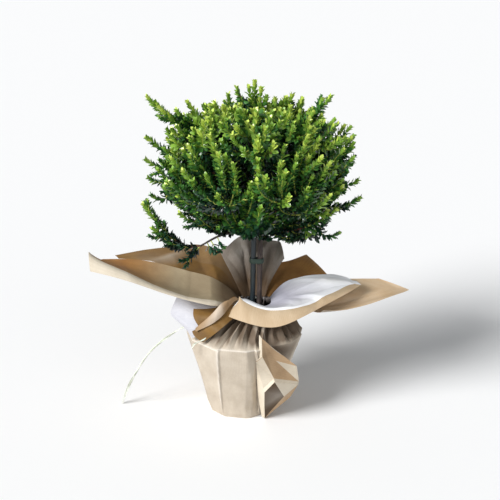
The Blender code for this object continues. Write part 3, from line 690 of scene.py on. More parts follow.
# %% Grids of the collar, read outwards from the neck, in millimetres
NECK_X, NECK_Y = 0.018, -0.002
NECK_RADIUS = 0.0268
COLLAR = {
    "left_wing": [
        [(2, -18, 155), (-10, -26, 158), (-46, -42, 166), (-97, -48, 184), (-138, -50, 201),
         (-173, -49, 212), (-198, -46, 217)],
        [(-1, -14, 156), (-11, -26, 160), (-48, -42.5, 168.5), (-100, -45, 190), (-141, -45, 210),
         (-176, -41, 227), (-201, -36, 240)],
        [(-4, -7, 156), (-14, -12, 161), (-48, -16, 166), (-98, -14, 184), (-141, -12, 200),
         (-177, -8, 208), (-196, -12, 218)],
        [(-4, 3, 156), (-14, 8, 171), (-50, 12, 189), (-100, 18, 200), (-140, 22, 208),
         (-176, 22, 207), (-188, 10, 212)],
    ],
    "back_left_sheet": [
        [(-8, 6, 155), (-21, 15, 170), (-52, 20, 182), (-100, 27, 193), (-138, 31, 202), (-172, 34, 204)],
        [(-5, 12, 155), (-18, 32, 180), (-52, 54, 196), (-102, 58, 199), (-139, 47, 204),
         (-175, 38, 205.5)],
        [(2, 20, 155), (-10, 50, 197), (-54, 95, 206), (-102, 84, 204), (-140, 61, 206), (-178, 42, 207)],
    ],
    "back_tissue": [
        [(1, 12, 155), (-12, 27, 179), (-24, 40, 198), (-33, 52, 212)],
        [(6, 17, 155), (-1, 30, 182), (-9, 43, 203), (-16, 54, 219)],
        [(11, 19.5, 155), (5, 47, 183), (0, 66, 206), (-3, 80, 225)],
        [(14.5, 20, 155), (12, 36, 184), (9, 50, 207), (8, 61, 228)],
        [(18, 20.5, 155), (19, 50, 184), (21, 70, 207), (23, 83, 229)],
        [(22, 20, 155), (26, 36, 183), (30, 48, 204), (34, 57, 224)],
        [(26, 19, 155), (33, 46, 181), (43, 64, 199), (54, 74, 217)],
        [(29, 17, 155), (36, 31, 179), (47, 43, 194), (58, 52, 208)],
        [(32, 15, 155), (40, 31, 175), (51, 45, 188), (60, 52, 198)],
    ],
    "back_right_sheet": [
        [(31, 21, 155), (38, 38, 171), (46, 56, 190)],
        [(36, 17.5, 155), (50, 42, 172), (68, 70, 187)],
        [(40, 13, 155), (62, 46, 172), (92, 80, 193)],
        [(43, 8, 155), (74, 45, 169), (110, 67, 181)],
        [(44.5, 5, 155), (84, 42, 166), (121, 55, 172)],
    ],
    "right_wing": [
        [(3, -23, 155), (-2, -27, 168), (-14, -38, 160), (-17, -44, 151)],
        [(7, -21.5, 155), (3, -27, 176), (-3, -38, 177), (3, -57, 149)],
        [(13, -24, 155), (18, -32, 168), (20, -46, 168), (24, -64, 145)],
        [(22, -24, 155), (34, -36, 163), (45, -55, 165), (48, -70, 146)],
        [(32, -19.5, 155), (56, -36, 165), (73, -59, 169), (74, -67, 157)],
        [(38, -11, 155), (78, -26, 169), (107, -49, 180), (107, -54, 171)],
        [(40.3, -4, 155), (92, -6, 172), (138, -29, 184), (141, -33, 180)],
        [(40.3, 2, 155), (88, 8, 174), (155, -15, 184.5), (161, -18, 184)],
        [(39.5, 6, 155), (76, 22, 175), (118, 27, 180), (150, 14, 182)],
        [(37.5, 10, 155), (56, 20, 177), (88, 33, 180), (126, 34, 180)],
    ],
    "right_under_sheet": [
        [(40, -16.5, 155), (58, -26, 155), (82, -38, 158), (108, -46, 163)],
        [(42, -12, 155), (64, -16, 157), (98, -22, 161), (140, -36, 160)],
        [(43.8, -7.5, 155), (72, -6, 159), (124, -10, 166), (180, -22, 164)],
        [(44.5, -3.5, 155), (74, 4, 160), (138, 4, 171), (205, -14, 172)],
        [(44.5, -0.5, 155), (74, 13, 162), (146, 18, 173), (229, 0, 174)],
        [(44, 2.5, 155), (72, 22, 164), (125, 38, 173), (190, 22, 180)],
    ],
    "front_tongue": [
        [(-1, -21, 155), (-9, -31, 176), (-25, -42, 172), (-37, -50, 157), (-62, -53, 139)],
        [(1, -22.6, 155), (-8, -33, 186), (-23, -46, 169), (-38, -54, 152), (-62, -55, 137)],
        [(3.2, -24.2, 155), (-6, -31, 176), (-19, -46, 161), (-38, -54, 146), (-61, -56, 135)],
    ],
    "front_tongue_fold": [
        [(-3, -19, 155), (-15, -34, 167), (-32, -43, 158), (-50, -51, 145), (-67, -50, 133)],
        [(0, -21, 155), (-11, -39, 163), (-29, -50, 153), (-47, -58, 139), (-64, -57, 128)],
        [(3, -23, 155), (-6, -40, 152), (-22, -53, 143), (-38, -60, 131), (-52, -62, 122)],
    ],
    "white_flap": [
        [(-7.8, -8, 155), (-34, -17, 159), (-62, -24, 166), (-88, -25, 171)],
        [(-6.4, -11, 155), (-34, -25, 157), (-66, -34, 158), (-94, -28, 158)],
        [(-4.9, -14.2, 155), (-32, -32, 153), (-66, -43, 147), (-99, -30, 147)],
        [(-3.4, -17, 155), (-30, -37, 149), (-60, -49, 137), (-78, -40, 136)],
        [(-2.6, -18.4, 155), (-28, -42, 145), (-56, -53, 130), (-67, -50, 122)],
    ],
}
SHARP_TIPS = {
    "left_wing": [(1, 6)],
    "back_tissue": [(4, 3), (6, 3)],
    "back_right_sheet": [(2, 2)],
    "right_wing": [(1, 2), (7, 2), (7, 3)],
    "right_under_sheet": [(4, 3)],
}

# %% The looks of each sheet
PAPER_THICKNESS = 0.0004
# Pitch and depth of its creases, the finishes of its upper and lower side, the levels of its
# rounding, and how much it lies in the others' shade in the neck
COLLAR_LOOKS = {
    "left_wing": (0.034, 0.0019, "wing_inside", "pale_kraft", 5, 0.86),
    "back_left_sheet": (0.032, 0.0034, "back_left", "brown_fold", 4, 0.70),
    "back_tissue": (0.017, 0.0050, "tissue", "tissue", 4, 0.30),
    "back_right_sheet": (0.022, 0.0026, "kraft_inside", "kraft_outside", 4, 0.20),
    "right_wing": (0.024, 0.0038, "white_side", "wing_outside", 5, 0.0),
    "right_under_sheet": (0.026, 0.0030, "warm_kraft", "kraft_outside", 5, 0.0),
    "front_tongue": (0.018, 0.0014, "shaded_kraft", "kraft_inside", 4, 0.0),
    "front_tongue_fold": (0.018, 0.0014, "brown_fold", "kraft_inside", 4, 0.0),
    "white_flap": (0.020, 0.0028, "flap_white", "brown_fold", 4, 0.0),
}
# How far out of the neck the shade ends and the creases are at their full depth, and the least
# share of that depth
SHADE_REACH, CREASE_REACH, LEAST_CREASE = 0.070, 0.035, 0.12
# Edges sharper than this, in degrees, stay crisp on a sheet, and on the wrap and its ear
SHEET_EDGE, WRAP_EDGE = 22, 20
# Cells of a grid that show the sheet's other side: turned over on the wings, as painted shade on the
# back left sheet's front row, and on the white flap's neck partly its brown side in a fold and partly
# painted shade
TURNED_CELLS = {
    "right_wing": lambda row, column: column == 2 and row < 7,
    "left_wing": lambda row, column: row == 0,
    "back_left_sheet": lambda row, column: row == 0,
    "white_flap": lambda row, column: column == 0 or (column == 1 and row > 0),
}


# %% Grid, rounding, creases and thickness in turn
def distances(points):
    """How far along a row of points each one is."""
    return np.cumsum([0] + [(b - a).length for a, b in zip(points, points[1:])])


def grid_mesh(name, rows, sharp):
    """A mesh through a grid of points, with a map in metres along rows and columns."""
    shape, paper_map = new_sheet()
    crease = shape.verts.layers.float.new("crease_vert")
    points = [metres(row) for row in rows]
    grid = [[shape.verts.new(point) for point in row] for row in points]
    for row, place in sharp:
        grid[row][place][crease] = 1.0
    across = distances(points[len(points) // 2])
    along = distances([row[len(row) // 2] for row in points])
    columns, turned = len(rows[0]) - 1, TURNED_CELLS.get(name)
    add_quads(shape, paper_map, grid, columns, lambda a, b: (across[b], along[a]), turned)
    shape.normal_update()
    if sum(face.normal.z * face.calc_area() for face in shape.faces) < 0:
        bmesh.ops.reverse_faces(shape, faces=shape.faces)
    return mesh_from(shape, name)


def two_sided(mesh, upper, lower):
    """Finishes of the upper and lower side, changed over on turned cells."""
    for paper in (upper, lower, lower, upper):
        mesh.materials.append(PAPER[paper].material)


def subdivided(obj, levels, kind="CATMULL_CLARK"):
    finer = obj.modifiers.new("finer", "SUBSURF")
    finer.subdivision_type = kind
    finer.levels = finer.render_levels = levels
    finer.boundary_smooth = "PRESERVE_CORNERS"
    return frozen(obj)


def finished_paper(obj, angle, *nodes):
    """Gives paper its wall. The second half of its finishes goes to the lower side."""
    wall = obj.modifiers.new("thickness", "SOLIDIFY")
    wall.thickness = PAPER_THICKNESS
    wall.offset = 0
    wall.material_offset = len(obj.data.materials) // 2
    frozen(obj)
    shade(obj.data, angle)
    print(obj.name, len(obj.data.polygons), "faces")
    return stand_for(obj, "kraft_paper", *nodes)


def from_neck(points):
    """How far out from the tied neck points are."""
    return np.linalg.norm(points[:, :2] - (NECK_X, NECK_Y), axis=1) - NECK_RADIUS


def neck_hold(points):
    """Few creases where the sheets are packed in the tied neck, and all of them further out."""
    return np.clip(from_neck(points) / CREASE_REACH, LEAST_CREASE, 1)


def paper_sheet(name, rows):
    pitch, depth, upper, lower, levels, shade_strength = COLLAR_LOOKS[name]
    obj = new_object(name + "_paper", grid_mesh(name, rows, SHARP_TIPS.get(name, [])))
    two_sided(obj.data, upper, lower)
    subdivided(obj, levels)

    def neck_shade(points):
        return -shade_strength * np.clip(1 - from_neck(points) / SHADE_REACH, 0, 1)

    crush(obj.data, Creases(name, pitch, depth), hold=neck_hold, painted_light=neck_shade)
    finished_paper(obj, SHEET_EDGE, name.removesuffix("_fold"))


for sheet_name, sheet_rows in COLLAR.items():
    paper_sheet(sheet_name, sheet_rows)

# %% [markdown]
# ## Wrap round the pot
#
# Below the tie the paper goes round the pot. It isn't a smooth cone: the hands that wrapped it
# left flat panes with upright creases between them. Over the pot's rim it bends in, and from
# there it runs to the tie in narrow pleats, because a wide round has to fit a narrow one. The
# wrap is one shell of rings. Each ring is a level of the CAD model's wrap, with more levels in
# between, and the pleats grow from the rim to the tie.

# %% Levels of the wrap: height, radius, how far its middle moves to the neck, and pleat depth
FOOT_RADIUS = 0.0495
FOLD_HEIGHT, FOLD_RADIUS = 0.116, 0.079
WRAP_LEVELS = [
    (0.0, FOOT_RADIUS, 0.0, 0.0),
    (0.010, FOOT_RADIUS + 0.0030, 0.0, 0.0),
    (0.055, 0.0635, 0.0, 0.0),
    (0.100, 0.0762, 0.0, 0.0),
    (0.1145, FOLD_RADIUS - 0.0002, 0.0, 0.0),
    (FOLD_HEIGHT, FOLD_RADIUS + 0.0002, 0.0, 0.0),
    (0.1195, 0.0745, 0.05, 0.0022),
    (0.1275, 0.0655, 0.18, 0.0060),
    (0.1370, 0.0490, 0.52, 0.0074),
    (0.1462, 0.0300, 0.96, 0.0026),
    (0.1505, NECK_RADIUS, 1.0, 0.0016),
    (0.1550, NECK_RADIUS + 0.0006, 1.0, 0.0016),
]
LEVEL_PARTS = [3, 16, 16, 5, 2, 3, 6, 8, 8, 4, 4]
WRAP_COLUMNS = 360
PLEATS, PLEAT_SEED = 34, 3
# The uneven steps from pleat to pleat, and their heights as shares of the depth
PLEAT_STEPS, PLEAT_HEIGHTS = (0.5, 1.5), (0.35, 1.0)
# How much of a pleat's depth goes out, and how much up while the shift is under the last value
PLEAT_OUT, PLEAT_UP, UPRIGHT_FROM = 0.6, 0.8, 0.95
# Upright folds pressed into the wrap: bearing at foot and rim and half width in degrees, and how
# far each one stands out
WRAP_FOLDS = [
    (-121, -113, 3.2, 0.0022), (-62, -77, 3.0, -0.0034), (-30, -16, 5.0, 0.0030),
    (-12, -2, 4.0, 0.0022), (24, 16, 5.0, 0.0022), (80, 70, 5.0, 0.0022),
    (128, 134, 3.0, 0.0020), (166, 158, 5.0, 0.0022),
]
# The slopes of a fold's two sides, and the height at which it reaches its full depth
FOLD_SLOPES, FOLD_START = (0.35, -2.2), 0.02
# Pitch, depth and families of the wrap's creases, and pitch and depth of the ear's
WRAP_CREASES, EAR_CREASES = (0.028, 0.0018, 5), (0.026, 0.0010)
# Flat panes of the wrap: the way each faces, in degrees, and how much of the radius it keeps
WRAP_PANES = [
    (-57, 0.945), (-101, 0.962), (-134, 0.972), (-166, 0.95), (10, 0.985), (62, 0.95),
    (120, 0.95), (175, 0.96),
]


# %% Rings of the wrap
def pane_radius(angle):
    """How much of the radius is left where a pane cuts the round off to a straight side."""
    for facing, kept in WRAP_PANES:
        across = math.cos(angle - math.radians(facing))
        if across > kept:
            return kept / across
    return 1.0


def pressed_folds(angle, height):
    """How far the upright folds push the wrap out. They fade out at its foot."""
    total = 0.0
    for at_foot, at_rim, half, out in WRAP_FOLDS:
        bearing = at_foot + (at_rim - at_foot) * height / FOLD_HEIGHT
        off = (math.degrees(angle) - bearing + 180) % 360 - 180
        slope = off / half * FOLD_SLOPES[int(off >= 0)]
        total += out * max(0.0, 1 + slope)
    return total * min(1.0, height / FOLD_START)


def pleat_wave():
    """A zigzag round the circle from -1 to 1 with uneven steps."""
    draw = random.Random(PLEAT_SEED)
    steps = [draw.uniform(*PLEAT_STEPS) for _ in range(2 * PLEATS)]
    places = np.cumsum([0] + steps) / sum(steps) * 2 * math.pi
    heights = [(-1) ** i * draw.uniform(*PLEAT_HEIGHTS) for i in range(2 * PLEATS)]
    return lambda angle: np.interp(angle, places, heights + heights[:1])


WAVE = pleat_wave()


def wrap_rings():
    """The wrap's points as rings, and the distance up the paper of each."""
    rings = []
    walked = [0.0]
    for (low, high), parts in zip(zip(WRAP_LEVELS, WRAP_LEVELS[1:]), LEVEL_PARTS):
        for part in range(parts + (high is WRAP_LEVELS[-1])):
            height, radius, shift, pleat = (a + (b - a) * part / parts for a, b in zip(low, high))
            ring = []
            for column in range(WRAP_COLUMNS):
                angle = 2 * math.pi * column / WRAP_COLUMNS
                flat = pane_radius(angle) * (1 - shift) + shift
                fold = pleat * WAVE(angle)
                pressed = pressed_folds(angle, height) * (1 - shift)
                around = radius * flat + fold * PLEAT_OUT + pressed
                x = NECK_X * shift + around * math.cos(angle)
                y = NECK_Y * shift + around * math.sin(angle)
                ring.append((x, y, height + fold * PLEAT_UP * (shift < UPRIGHT_FROM)))
            if rings:
                walked.append(walked[-1] + math.dist(ring[0], rings[-1][0]))
            rings.append(ring)
    return rings, walked


def wrap_mesh():
    rings, walked = wrap_rings()
    shape, paper_map = new_sheet()
    grid = [[shape.verts.new(point) for point in ring] for ring in rings]
    around = 2 * math.pi * FOLD_RADIUS / WRAP_COLUMNS
    add_quads(shape, paper_map, grid, WRAP_COLUMNS, lambda a, b: (walked[a], b * around))
    foot = shape.faces.new(grid[0][::-1])
    for loop in foot.loops:
        loop[paper_map].uv = loop.vert.co.xy
    return mesh_from(shape, "wrap")


# %% Where the wrap is crushed, and where highlight and shade are painted on it
# Ramps, each a start and a length: off the table, up past the panes, into the pleats, and to the
# right under the wing; then right and up beside the ear, whose back is at a depth
OFF_TABLE, PAST_PANES = (0, 0.012), (0.10, 0.03)
INTO_PLEATS, UNDER_WING = (FOLD_HEIGHT + 0.001, 0.008), (0.005, 0.02)
EAR_RIGHT, EAR_UP, EAR_BACK = (0.030, 0.012), (0.080, 0.030), 0.01
# The crease over the rim: how far round it the paper is held, how much, and how wide its painted
# highlight is
RIM_HALF, RIM_HOLD, RIM_HIGHLIGHT_HALF = 0.005, 0.15, 0.0013
# The share of creases on the panes, and how many more there are beside the ear
PANE_HOLD, EAR_CRUSH = 0.5, 0.8
# Painted highlight of rim and crests, height and sharpness of a full crest, and painted shade
# beside the ear
RIM_HIGHLIGHT, CREST_HIGHLIGHT, FULL_CREST, CREST_POWER, EAR_SHADE = 0.55, 0.5, 0.0022, 4, 0.55
# Painted shade in the pleats, more of it under the wing, and what crests take from it and valleys
# add
PLEAT_SHADE, WING_SHADE, PLEAT_SWING = 0.30, 0.36, 0.45
# Bearings of pleats are taken from a middle this share of the way to the neck
PLEAT_MIDDLE = 0.4


def ramp(values, start, length):
    """0 up to a start, 1 after a length, and even in between."""
    return np.clip((values - start) / length, 0, 1)


def beside_ear(points):
    """1 behind the ear on the right, where the wrap's rim is crushed and lies in shade."""
    x, y, z = points.T
    return ramp(x, *EAR_RIGHT) * (y < EAR_BACK) * ramp(z, *EAR_UP)


def wrap_hold(points):
    """No creases on the table, few on the panes, many above the rim and beside the ear."""
    height = points[:, 2]
    crushed = beside_ear(points)
    near_rim = np.clip(np.abs(height - FOLD_HEIGHT) / RIM_HALF, RIM_HOLD, 1)
    held = ramp(height, *OFF_TABLE) * (PANE_HOLD + ramp(height, *PAST_PANES))
    return held * np.maximum(near_rim, crushed) * (1 + EAR_CRUSH * crushed)


def wrap_highlight_and_shade(points):
    """Painted highlight on the rim crease and upright fold crests; painted shade in pleats and by the
    ear.
    """
    x, y, z = points.T
    rim = np.exp(-(((z - FOLD_HEIGHT) / RIM_HIGHLIGHT_HALF) ** 2))
    crests = [pressed_folds(math.atan2(b, a), c) if c < FOLD_HEIGHT else 0.0 for a, b, c in points]
    bearings = np.arctan2(y - NECK_Y * PLEAT_MIDDLE, x - NECK_X * PLEAT_MIDDLE) % (2 * math.pi)
    deep = PLEAT_SHADE + WING_SHADE * ramp(x, *UNDER_WING) - PLEAT_SWING * WAVE(bearings)
    shaded = beside_ear(points)
    crest_highlight = CREST_HIGHLIGHT * ramp(np.array(crests), 0, FULL_CREST) ** CREST_POWER
    painted_light = RIM_HIGHLIGHT * rim * (1 - shaded) + crest_highlight
    return painted_light - ramp(z, *INTO_PLEATS) * deep - EAR_SHADE * shaded


def outwards(points):
    """Unit ways from the upright axis to points."""
    flat = points * (1, 1, 0)
    return flat / np.maximum(np.linalg.norm(flat, axis=1), 1e-6)[:, None]


def wrap():
    obj = new_object("wrap_paper", wrap_mesh())
    two_sided(obj.data, "kraft_outside", "white_side")
    crush(obj.data, Creases("wrap", *WRAP_CREASES), wrap_hold, outwards, wrap_highlight_and_shade)
    for corner in obj.data.vertices:
        corner.co.z = max(corner.co.z, 0.0)
    finished_paper(obj, WRAP_EDGE, "wrap_sleeve", "gathered_neck")


wrap()

# %% [markdown]
# ## Folded ear
#
# On the front right a corner of the sheet is folded over into a triangle with sharp ridges. Its
# facets are flat and each turns another way, so it is drawn as triangles between named points.
# Facets that face the light are painted a paler kraft, as painted light, and those that face away
# a browner and a darker one, as painted shade. At its back the fold is closed on the wrap.

# %% The ear
EAR_POINTS = {
    "top": (23.1, -70, 136.9),
    "fold_top": (26.3, -71.5, 132.2),
    "jog_high": (23.3, -72.7, 105.4),
    "fold_high": (27.2, -77, 108.1),
    "jog_low": (18.3, -71, 97.7),
    "left_middle": (22.3, -53.5, 42.3),
    "left_foot": (27, -45.5, 1.4),
    "foot": (31.2, -51, 0.8),
    "ridge_left": (29.1, -74, 59.8),
    "ridge_peak": (43, -72, 73.6),
    "ridge_right": (77, -54, 59.7),
    "corner": (73.7, -59, 85.5),
    "hollow": (45.7, -67, 97.2),
    "under_left": (30.6, -76.5, 55.8),
    "under_peak": (43.8, -76, 70.3),
    "under_right": (75.8, -58, 57.3),
    "low_middle": (56.6, -60, 41),
    "low_right": (65.5, -51.5, 34.5),
    "back_top": (37.2, -64.5, 112),
    "back_corner": (56.7, -44.3, 84),
    "back_right": (58.4, -33.8, 60),
    "back_low": (43.6, -39.3, 34),
    "back_foot": (30.5, -39, 1.5),
}
LIT_FACETS = """
    top jog_high fold_high, top fold_high fold_top, jog_high jog_low fold_high,
    jog_low ridge_peak fold_high, jog_low ridge_left ridge_peak, jog_low left_middle ridge_left,
    left_middle under_left ridge_left, left_middle left_foot under_left, left_foot foot under_left,
    hollow ridge_right corner,
    ridge_left under_left under_peak, ridge_left under_peak ridge_peak,
    ridge_peak under_peak under_right, ridge_peak under_right ridge_right,
    under_peak low_middle under_right
"""
SHADED_FACETS = """
    fold_top fold_high ridge_peak, fold_top ridge_peak hollow, fold_top hollow corner,
    hollow ridge_peak ridge_right, foot low_right low_middle, low_middle low_right under_right,
    top fold_top back_top, fold_top corner back_corner, fold_top back_corner back_top,
    corner ridge_right back_right, corner back_right back_corner,
    ridge_right under_right back_right, under_right low_right back_low,
    under_right back_low back_right, low_right foot back_foot, low_right back_foot back_low
"""
DEEP_SHADE_FACETS = "under_left low_middle under_peak, under_left foot low_middle"
# Finishes of the facets with painted light, painted shade and deeper painted shade, and then of
# their backs
EAR_PAPERS = ("pale_kraft", "ear_brown", "dark_fold", "shaded_kraft", "kraft_outside", "kraft_outside")


def ear_mesh():
    shape, paper_map = new_sheet()
    places = metres(EAR_POINTS.values())
    corners = {label: shape.verts.new(place) for label, place in zip(EAR_POINTS, places)}
    for number, facets in enumerate((LIT_FACETS, SHADED_FACETS, DEEP_SHADE_FACETS)):
        for facet in facets.split(","):
            face = shape.faces.new([corners[label] for label in facet.split()])
            face.material_index = number
            for loop in face.loops:
                loop[paper_map].uv = loop.vert.co.xz
    return mesh_from(shape, "folded_ear", [PAPER[name] for name in EAR_PAPERS])


def ear():
    obj = new_object("folded_ear_paper", ear_mesh())
    subdivided(obj, levels=4, kind="SIMPLE")
    crush(obj.data, Creases("ear", *EAR_CREASES))
    finished_paper(obj, WRAP_EDGE, "folded_ear")


ear()

# %% [markdown]
# ## Raffia tie
#
# The same strands that make the two ends also go round the paper's neck, a little more than two
# turns, pressed into the pleats.

# %% Two turns of raffia round the neck
TIE_RADIUS = 0.0292
TIE_TURNS = 2.2
TIE_STEPS = 160
TIE_START = math.radians(195)
TIE_LOW, TIE_RISE, TIE_UNEVEN = 0.1490, 0.0030, 0.0006
# Waves in one turn: in and out, and up and down
OUT_WAVES, UP_WAVES = 7, 3


def tie_path():
    path = []
    for step in range(TIE_STEPS + 1):
        share = step / TIE_STEPS
        angle = TIE_START + 2 * math.pi * TIE_TURNS * share
        around = TIE_RADIUS + TIE_UNEVEN * math.sin(OUT_WAVES * angle)
        height = TIE_LOW + TIE_RISE * share + TIE_UNEVEN * math.sin(UP_WAVES * angle)
        x, y = NECK_X + around * math.cos(angle), NECK_Y + around * math.sin(angle)
        path.append(Vector((x, y, height)))
    return path


tie_values = {"Strands": 3, "Turns": 5.0, "Fray": 0.0, "Steps": 200}
tie_values |= {"Spread": 0.0007, "Width": 0.0016, "Thickness": 0.0005}
tie = run_tree("raffia_turns", line_mesh("raffia_turns", [tie_path()]), strands.tree, tie_values)
stand_for(tie, "raffia", "raffia_tie")
print("raffia turns", len(tie.data.polygons), "faces")

# %% [markdown]
# ## Pot and compost
#
# Paper hides both, but they can be seen through the neck from above. Their CAD shapes are right
# and stay, with a finish of their own: moulded black plastic with a fine grain, and dark crumbly
# compost.

# %% Finishes of pot and compost
plastic = grained("pot_plastic", 0.5, EVEN, (600, 2), WHOLE, ("262524", "343230"), (0.0003, 0.4))
compost = grained(
    "compost", 0.95, EVEN, (180, 6, 0.7), (0.35, 0.65), ("2A1E16", "5A4434"), (0.004, 0.9)
)

for node_name, node_finish in (("grow_pot", plastic), ("potting_soil", compost)):
    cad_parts[node_name].material_slots[0].material = node_finish.material
    print(node_name, node_finish.material.name)

# %% [markdown]
# ## Stem and boughs
#
# The stem is a thin woody rod with a slight lean and a flare at the soil. Eighteen boughs leave
# it, one for each mass of leaves. Young bark on such a stem is grey-brown and split into fine
# upright ridges. A plain tube would look like wire, so each ring of the tube is pushed in and out
# by noise that is stretched along the limb. That gives real ridges in the mesh.

# %% The lines of stem and boughs
STEM_FOOT_RADIUS, STEM_RADIUS, STEM_TIP_RADIUS = 0.0052, 0.0034, 0.0012
STEM_ROUTE = metres(
    [(23, -4, 100), (23, -4.3, 112), (24, -4.8, 180), (25, -5, 255), (24, -4.5, 330), (21.5, -3.5, 388)]
)
STEM_FOOT_HEIGHT, STEM_TAPER_FROM, STEM_TIP_HEIGHT = 0.1003, 0.250, 0.388
ROOT_FLARE = 0.007
BOUGH_RADIUS, BOUGH_TIP_RADIUS = 0.0021, 0.0012
FIRST_BOUGH_HEIGHT, BOUGH_STEP = 0.271, 0.0064
ELBOW_OUT, ELBOW_UP = 0.35, 0.18
BOUGH_PARTS, STRAY_PARTS = 14, 6
CROWN_X, CROWN_Y = 0.015, -0.002
# Masses of foliage: name, ring radius in mm, height in mm, how many, and the first one's bearing
TIERS = [("lower", 69, 302, 6, 30), ("middle", 74, 350, 6, 0), ("upper", 54, 396, 5, -90)]
CAP_HEART = (19, -3, 418)
STRAY_HEART = (-86, -41, 256)
STRAY_ROUTE = [(25, -5, 262), (16, -15, 262.5), (-4, -19, 262), (-28, -24, 259), (-54, -37, 249)]
LOWER_LIFT = 12


def stem_middle(height):
    for start, end in zip(STEM_ROUTE, STEM_ROUTE[1:]):
        if height <= end.z:
            return start.lerp(end, (height - start.z) / (end.z - start.z))
    return STEM_ROUTE[-1].copy()


def stem_radius(height):
    flare = (STEM_FOOT_RADIUS - STEM_RADIUS) * math.exp(-(height - STEM_FOOT_HEIGHT) / ROOT_FLARE)
    upper = max(0.0, (height - STEM_TAPER_FROM) / (STEM_TIP_HEIGHT - STEM_TAPER_FROM))
    return STEM_RADIUS + flare + (STEM_TIP_RADIUS - STEM_RADIUS) * upper


def mass_hearts():
    """The middle of each mass of foliage, by name."""
    found = {}
    for tier, ring, height, count, first in TIERS:
        for i in range(count):
            bearing = math.radians(first + 360 * i / count)
            lift = LOWER_LIFT * max(0.0, -math.cos(bearing)) if tier == "lower" else 0
            x = CROWN_X + ring * MM * math.cos(bearing)
            y = CROWN_Y + ring * MM * math.sin(bearing)
            found[f"{tier}_{i + 1}"] = Vector((x, y, (height + lift) * MM))
    found["cap"] = Vector(CAP_HEART) * MM
    found["stray"] = Vector(STRAY_HEART) * MM
    return found


HEARTS = mass_hearts()


def bough_lines():
    """Each bough from the stem's middle through its elbow to the heart of its mass."""
    lines = {"stray": smooth_path(metres(STRAY_ROUTE), STRAY_PARTS)}
    order = 0
    for name, heart in HEARTS.items():
        if name in ("cap", "stray"):
            continue
        start = stem_middle(FIRST_BOUGH_HEIGHT + BOUGH_STEP * order)
        reach = heart - start
        elbow = start + Vector((reach.x * ELBOW_OUT, reach.y * ELBOW_OUT, reach.z * ELBOW_UP))
        lines[name] = smooth_path([start, elbow, heart], BOUGH_PARTS)
        order += 1
    return lines


BOUGHS = bough_lines()
print("hearts", len(HEARTS), "boughs", len(BOUGHS))

# %% Bark finish: grey-brown ridges over darker splits
# The bark's tones are darker than its own colour, as painted shade for the deep shade round the stem
bark = grained(
    "bark", 0.85, (420, 420, 70), (1.0, 5, 0.65), (0.38, 0.62), ("261F20", "524642"), (0.0008, 0.8)
)
add_patches(bark, (60, 2), WHOLE, 0.35, "443A30")


# %% A limb whose surface is moved by bark relief
STEM_STEPS, STEM_SIDES, BOUGH_SIDES = 200, 28, 12
# Depth of the relief in metres, and ridges for each metre
STEM_RELIEF, BOUGH_RELIEF = (0.00032, 75), (0.00018, 90)
# Two waves of relief: how fine round the limb and along it, how far shifted, and how strong
BARK_WAVES = ((1.9, 1.0, 0, 1.4), (4.5, 2.5, 7, 1.0))
# Edges sharper than this, in degrees, stay crisp; the stem's line is read once in so many steps
BARK_EDGE, STEM_PART = 60, 10


def ring_faces(shape, low, high):
    """Faces between two rings of points."""
    for column in range(len(low)):
        beside = (column + 1) % len(low)
        shape.faces.new((low[column], low[beside], high[beside], high[column]))


def limb(shape, path, radii, sides, relief, ridge):
    """Adds one closed limb to a bmesh."""
    rings = []
    side = None
    walked = 0.0
    for i, (point, radius) in enumerate(zip(path, radii)):
        ahead = (path[min(i + 1, len(path) - 1)] - path[max(i - 1, 0)]).normalized()
        side = ahead.orthogonal() if side is None else side - ahead * side.dot(ahead)
        side.normalize()
        across = ahead.cross(side)
        walked += (point - path[i - 1]).length if i else 0.0
        ring = []
        for column in range(sides):
            angle = 2 * math.pi * column / sides
            x, y = math.cos(angle), math.sin(angle)
            swell = 0.0
            for fine, long, shift, strength in BARK_WAVES:
                spot = Vector((x * fine, y * fine, walked * ridge * long + shift))
                swell += noise.noise(spot) * strength
            ring.append(shape.verts.new(point + (side * x + across * y) * (radius + relief * swell)))
        rings.append(ring)
    for low, high in zip(rings, rings[1:]):
        ring_faces(shape, low, high)
    shape.faces.new(rings[0][::-1])
    shape.faces.new(rings[-1])


def solid_piece(name, shape, finish, angle, slot, *nodes):
    obj = new_object(name, mesh_from(shape, name, [finish]))
    shade(obj.data, angle)
    print(name, len(obj.data.polygons), "faces")
    return stand_for(obj, slot, *nodes)


def stem():
    rise = (STEM_TIP_HEIGHT - STEM_FOOT_HEIGHT) / STEM_STEPS
    heights = [STEM_FOOT_HEIGHT + rise * step for step in range(STEM_STEPS + 1)]
    shape = bmesh.new()
    path = smooth_path([stem_middle(height) for height in heights[::STEM_PART]], STEM_PART)
    limb(shape, path, [stem_radius(height) for height in heights], STEM_SIDES, *STEM_RELIEF)
    solid_piece("stem_bark", shape, bark, BARK_EDGE, "bark", "trunk")


def boughs():
    shape = bmesh.new()
    for path in BOUGHS.values():
        last = len(path) - 1
        radii = [BOUGH_RADIUS + (BOUGH_TIP_RADIUS - BOUGH_RADIUS) * i / last for i in range(last + 1)]
        limb(shape, path, radii, BOUGH_SIDES, *BOUGH_RELIEF)
    nodes = [f"bough_{name}" for name in BOUGHS]
    solid_piece("bough_bark", shape, bark, BARK_EDGE, "bark", *nodes)


stem()
boughs()

# %% [markdown]
# ## Cane and its tie
#
# A thin blue-green plant cane stands right beside the stem. It is a bamboo stick with two swollen
# joints, stained and weathered. A soft green tie goes round cane and stem in one long loop.

# %% The cane, with joints and a cut top
STAKE_RADIUS = 0.0037
STAKE_FOOT, STAKE_TOP = Vector((0.0125, -0.0045, 0.018)), Vector((0.0160, -0.0048, 0.266))
# Where the cane's joints are, as shares of its length, how far they swell and over what share
STAKE_JOINTS, JOINT_SWELL, JOINT_HALF = (0.30, 0.74), 0.00045, 0.008
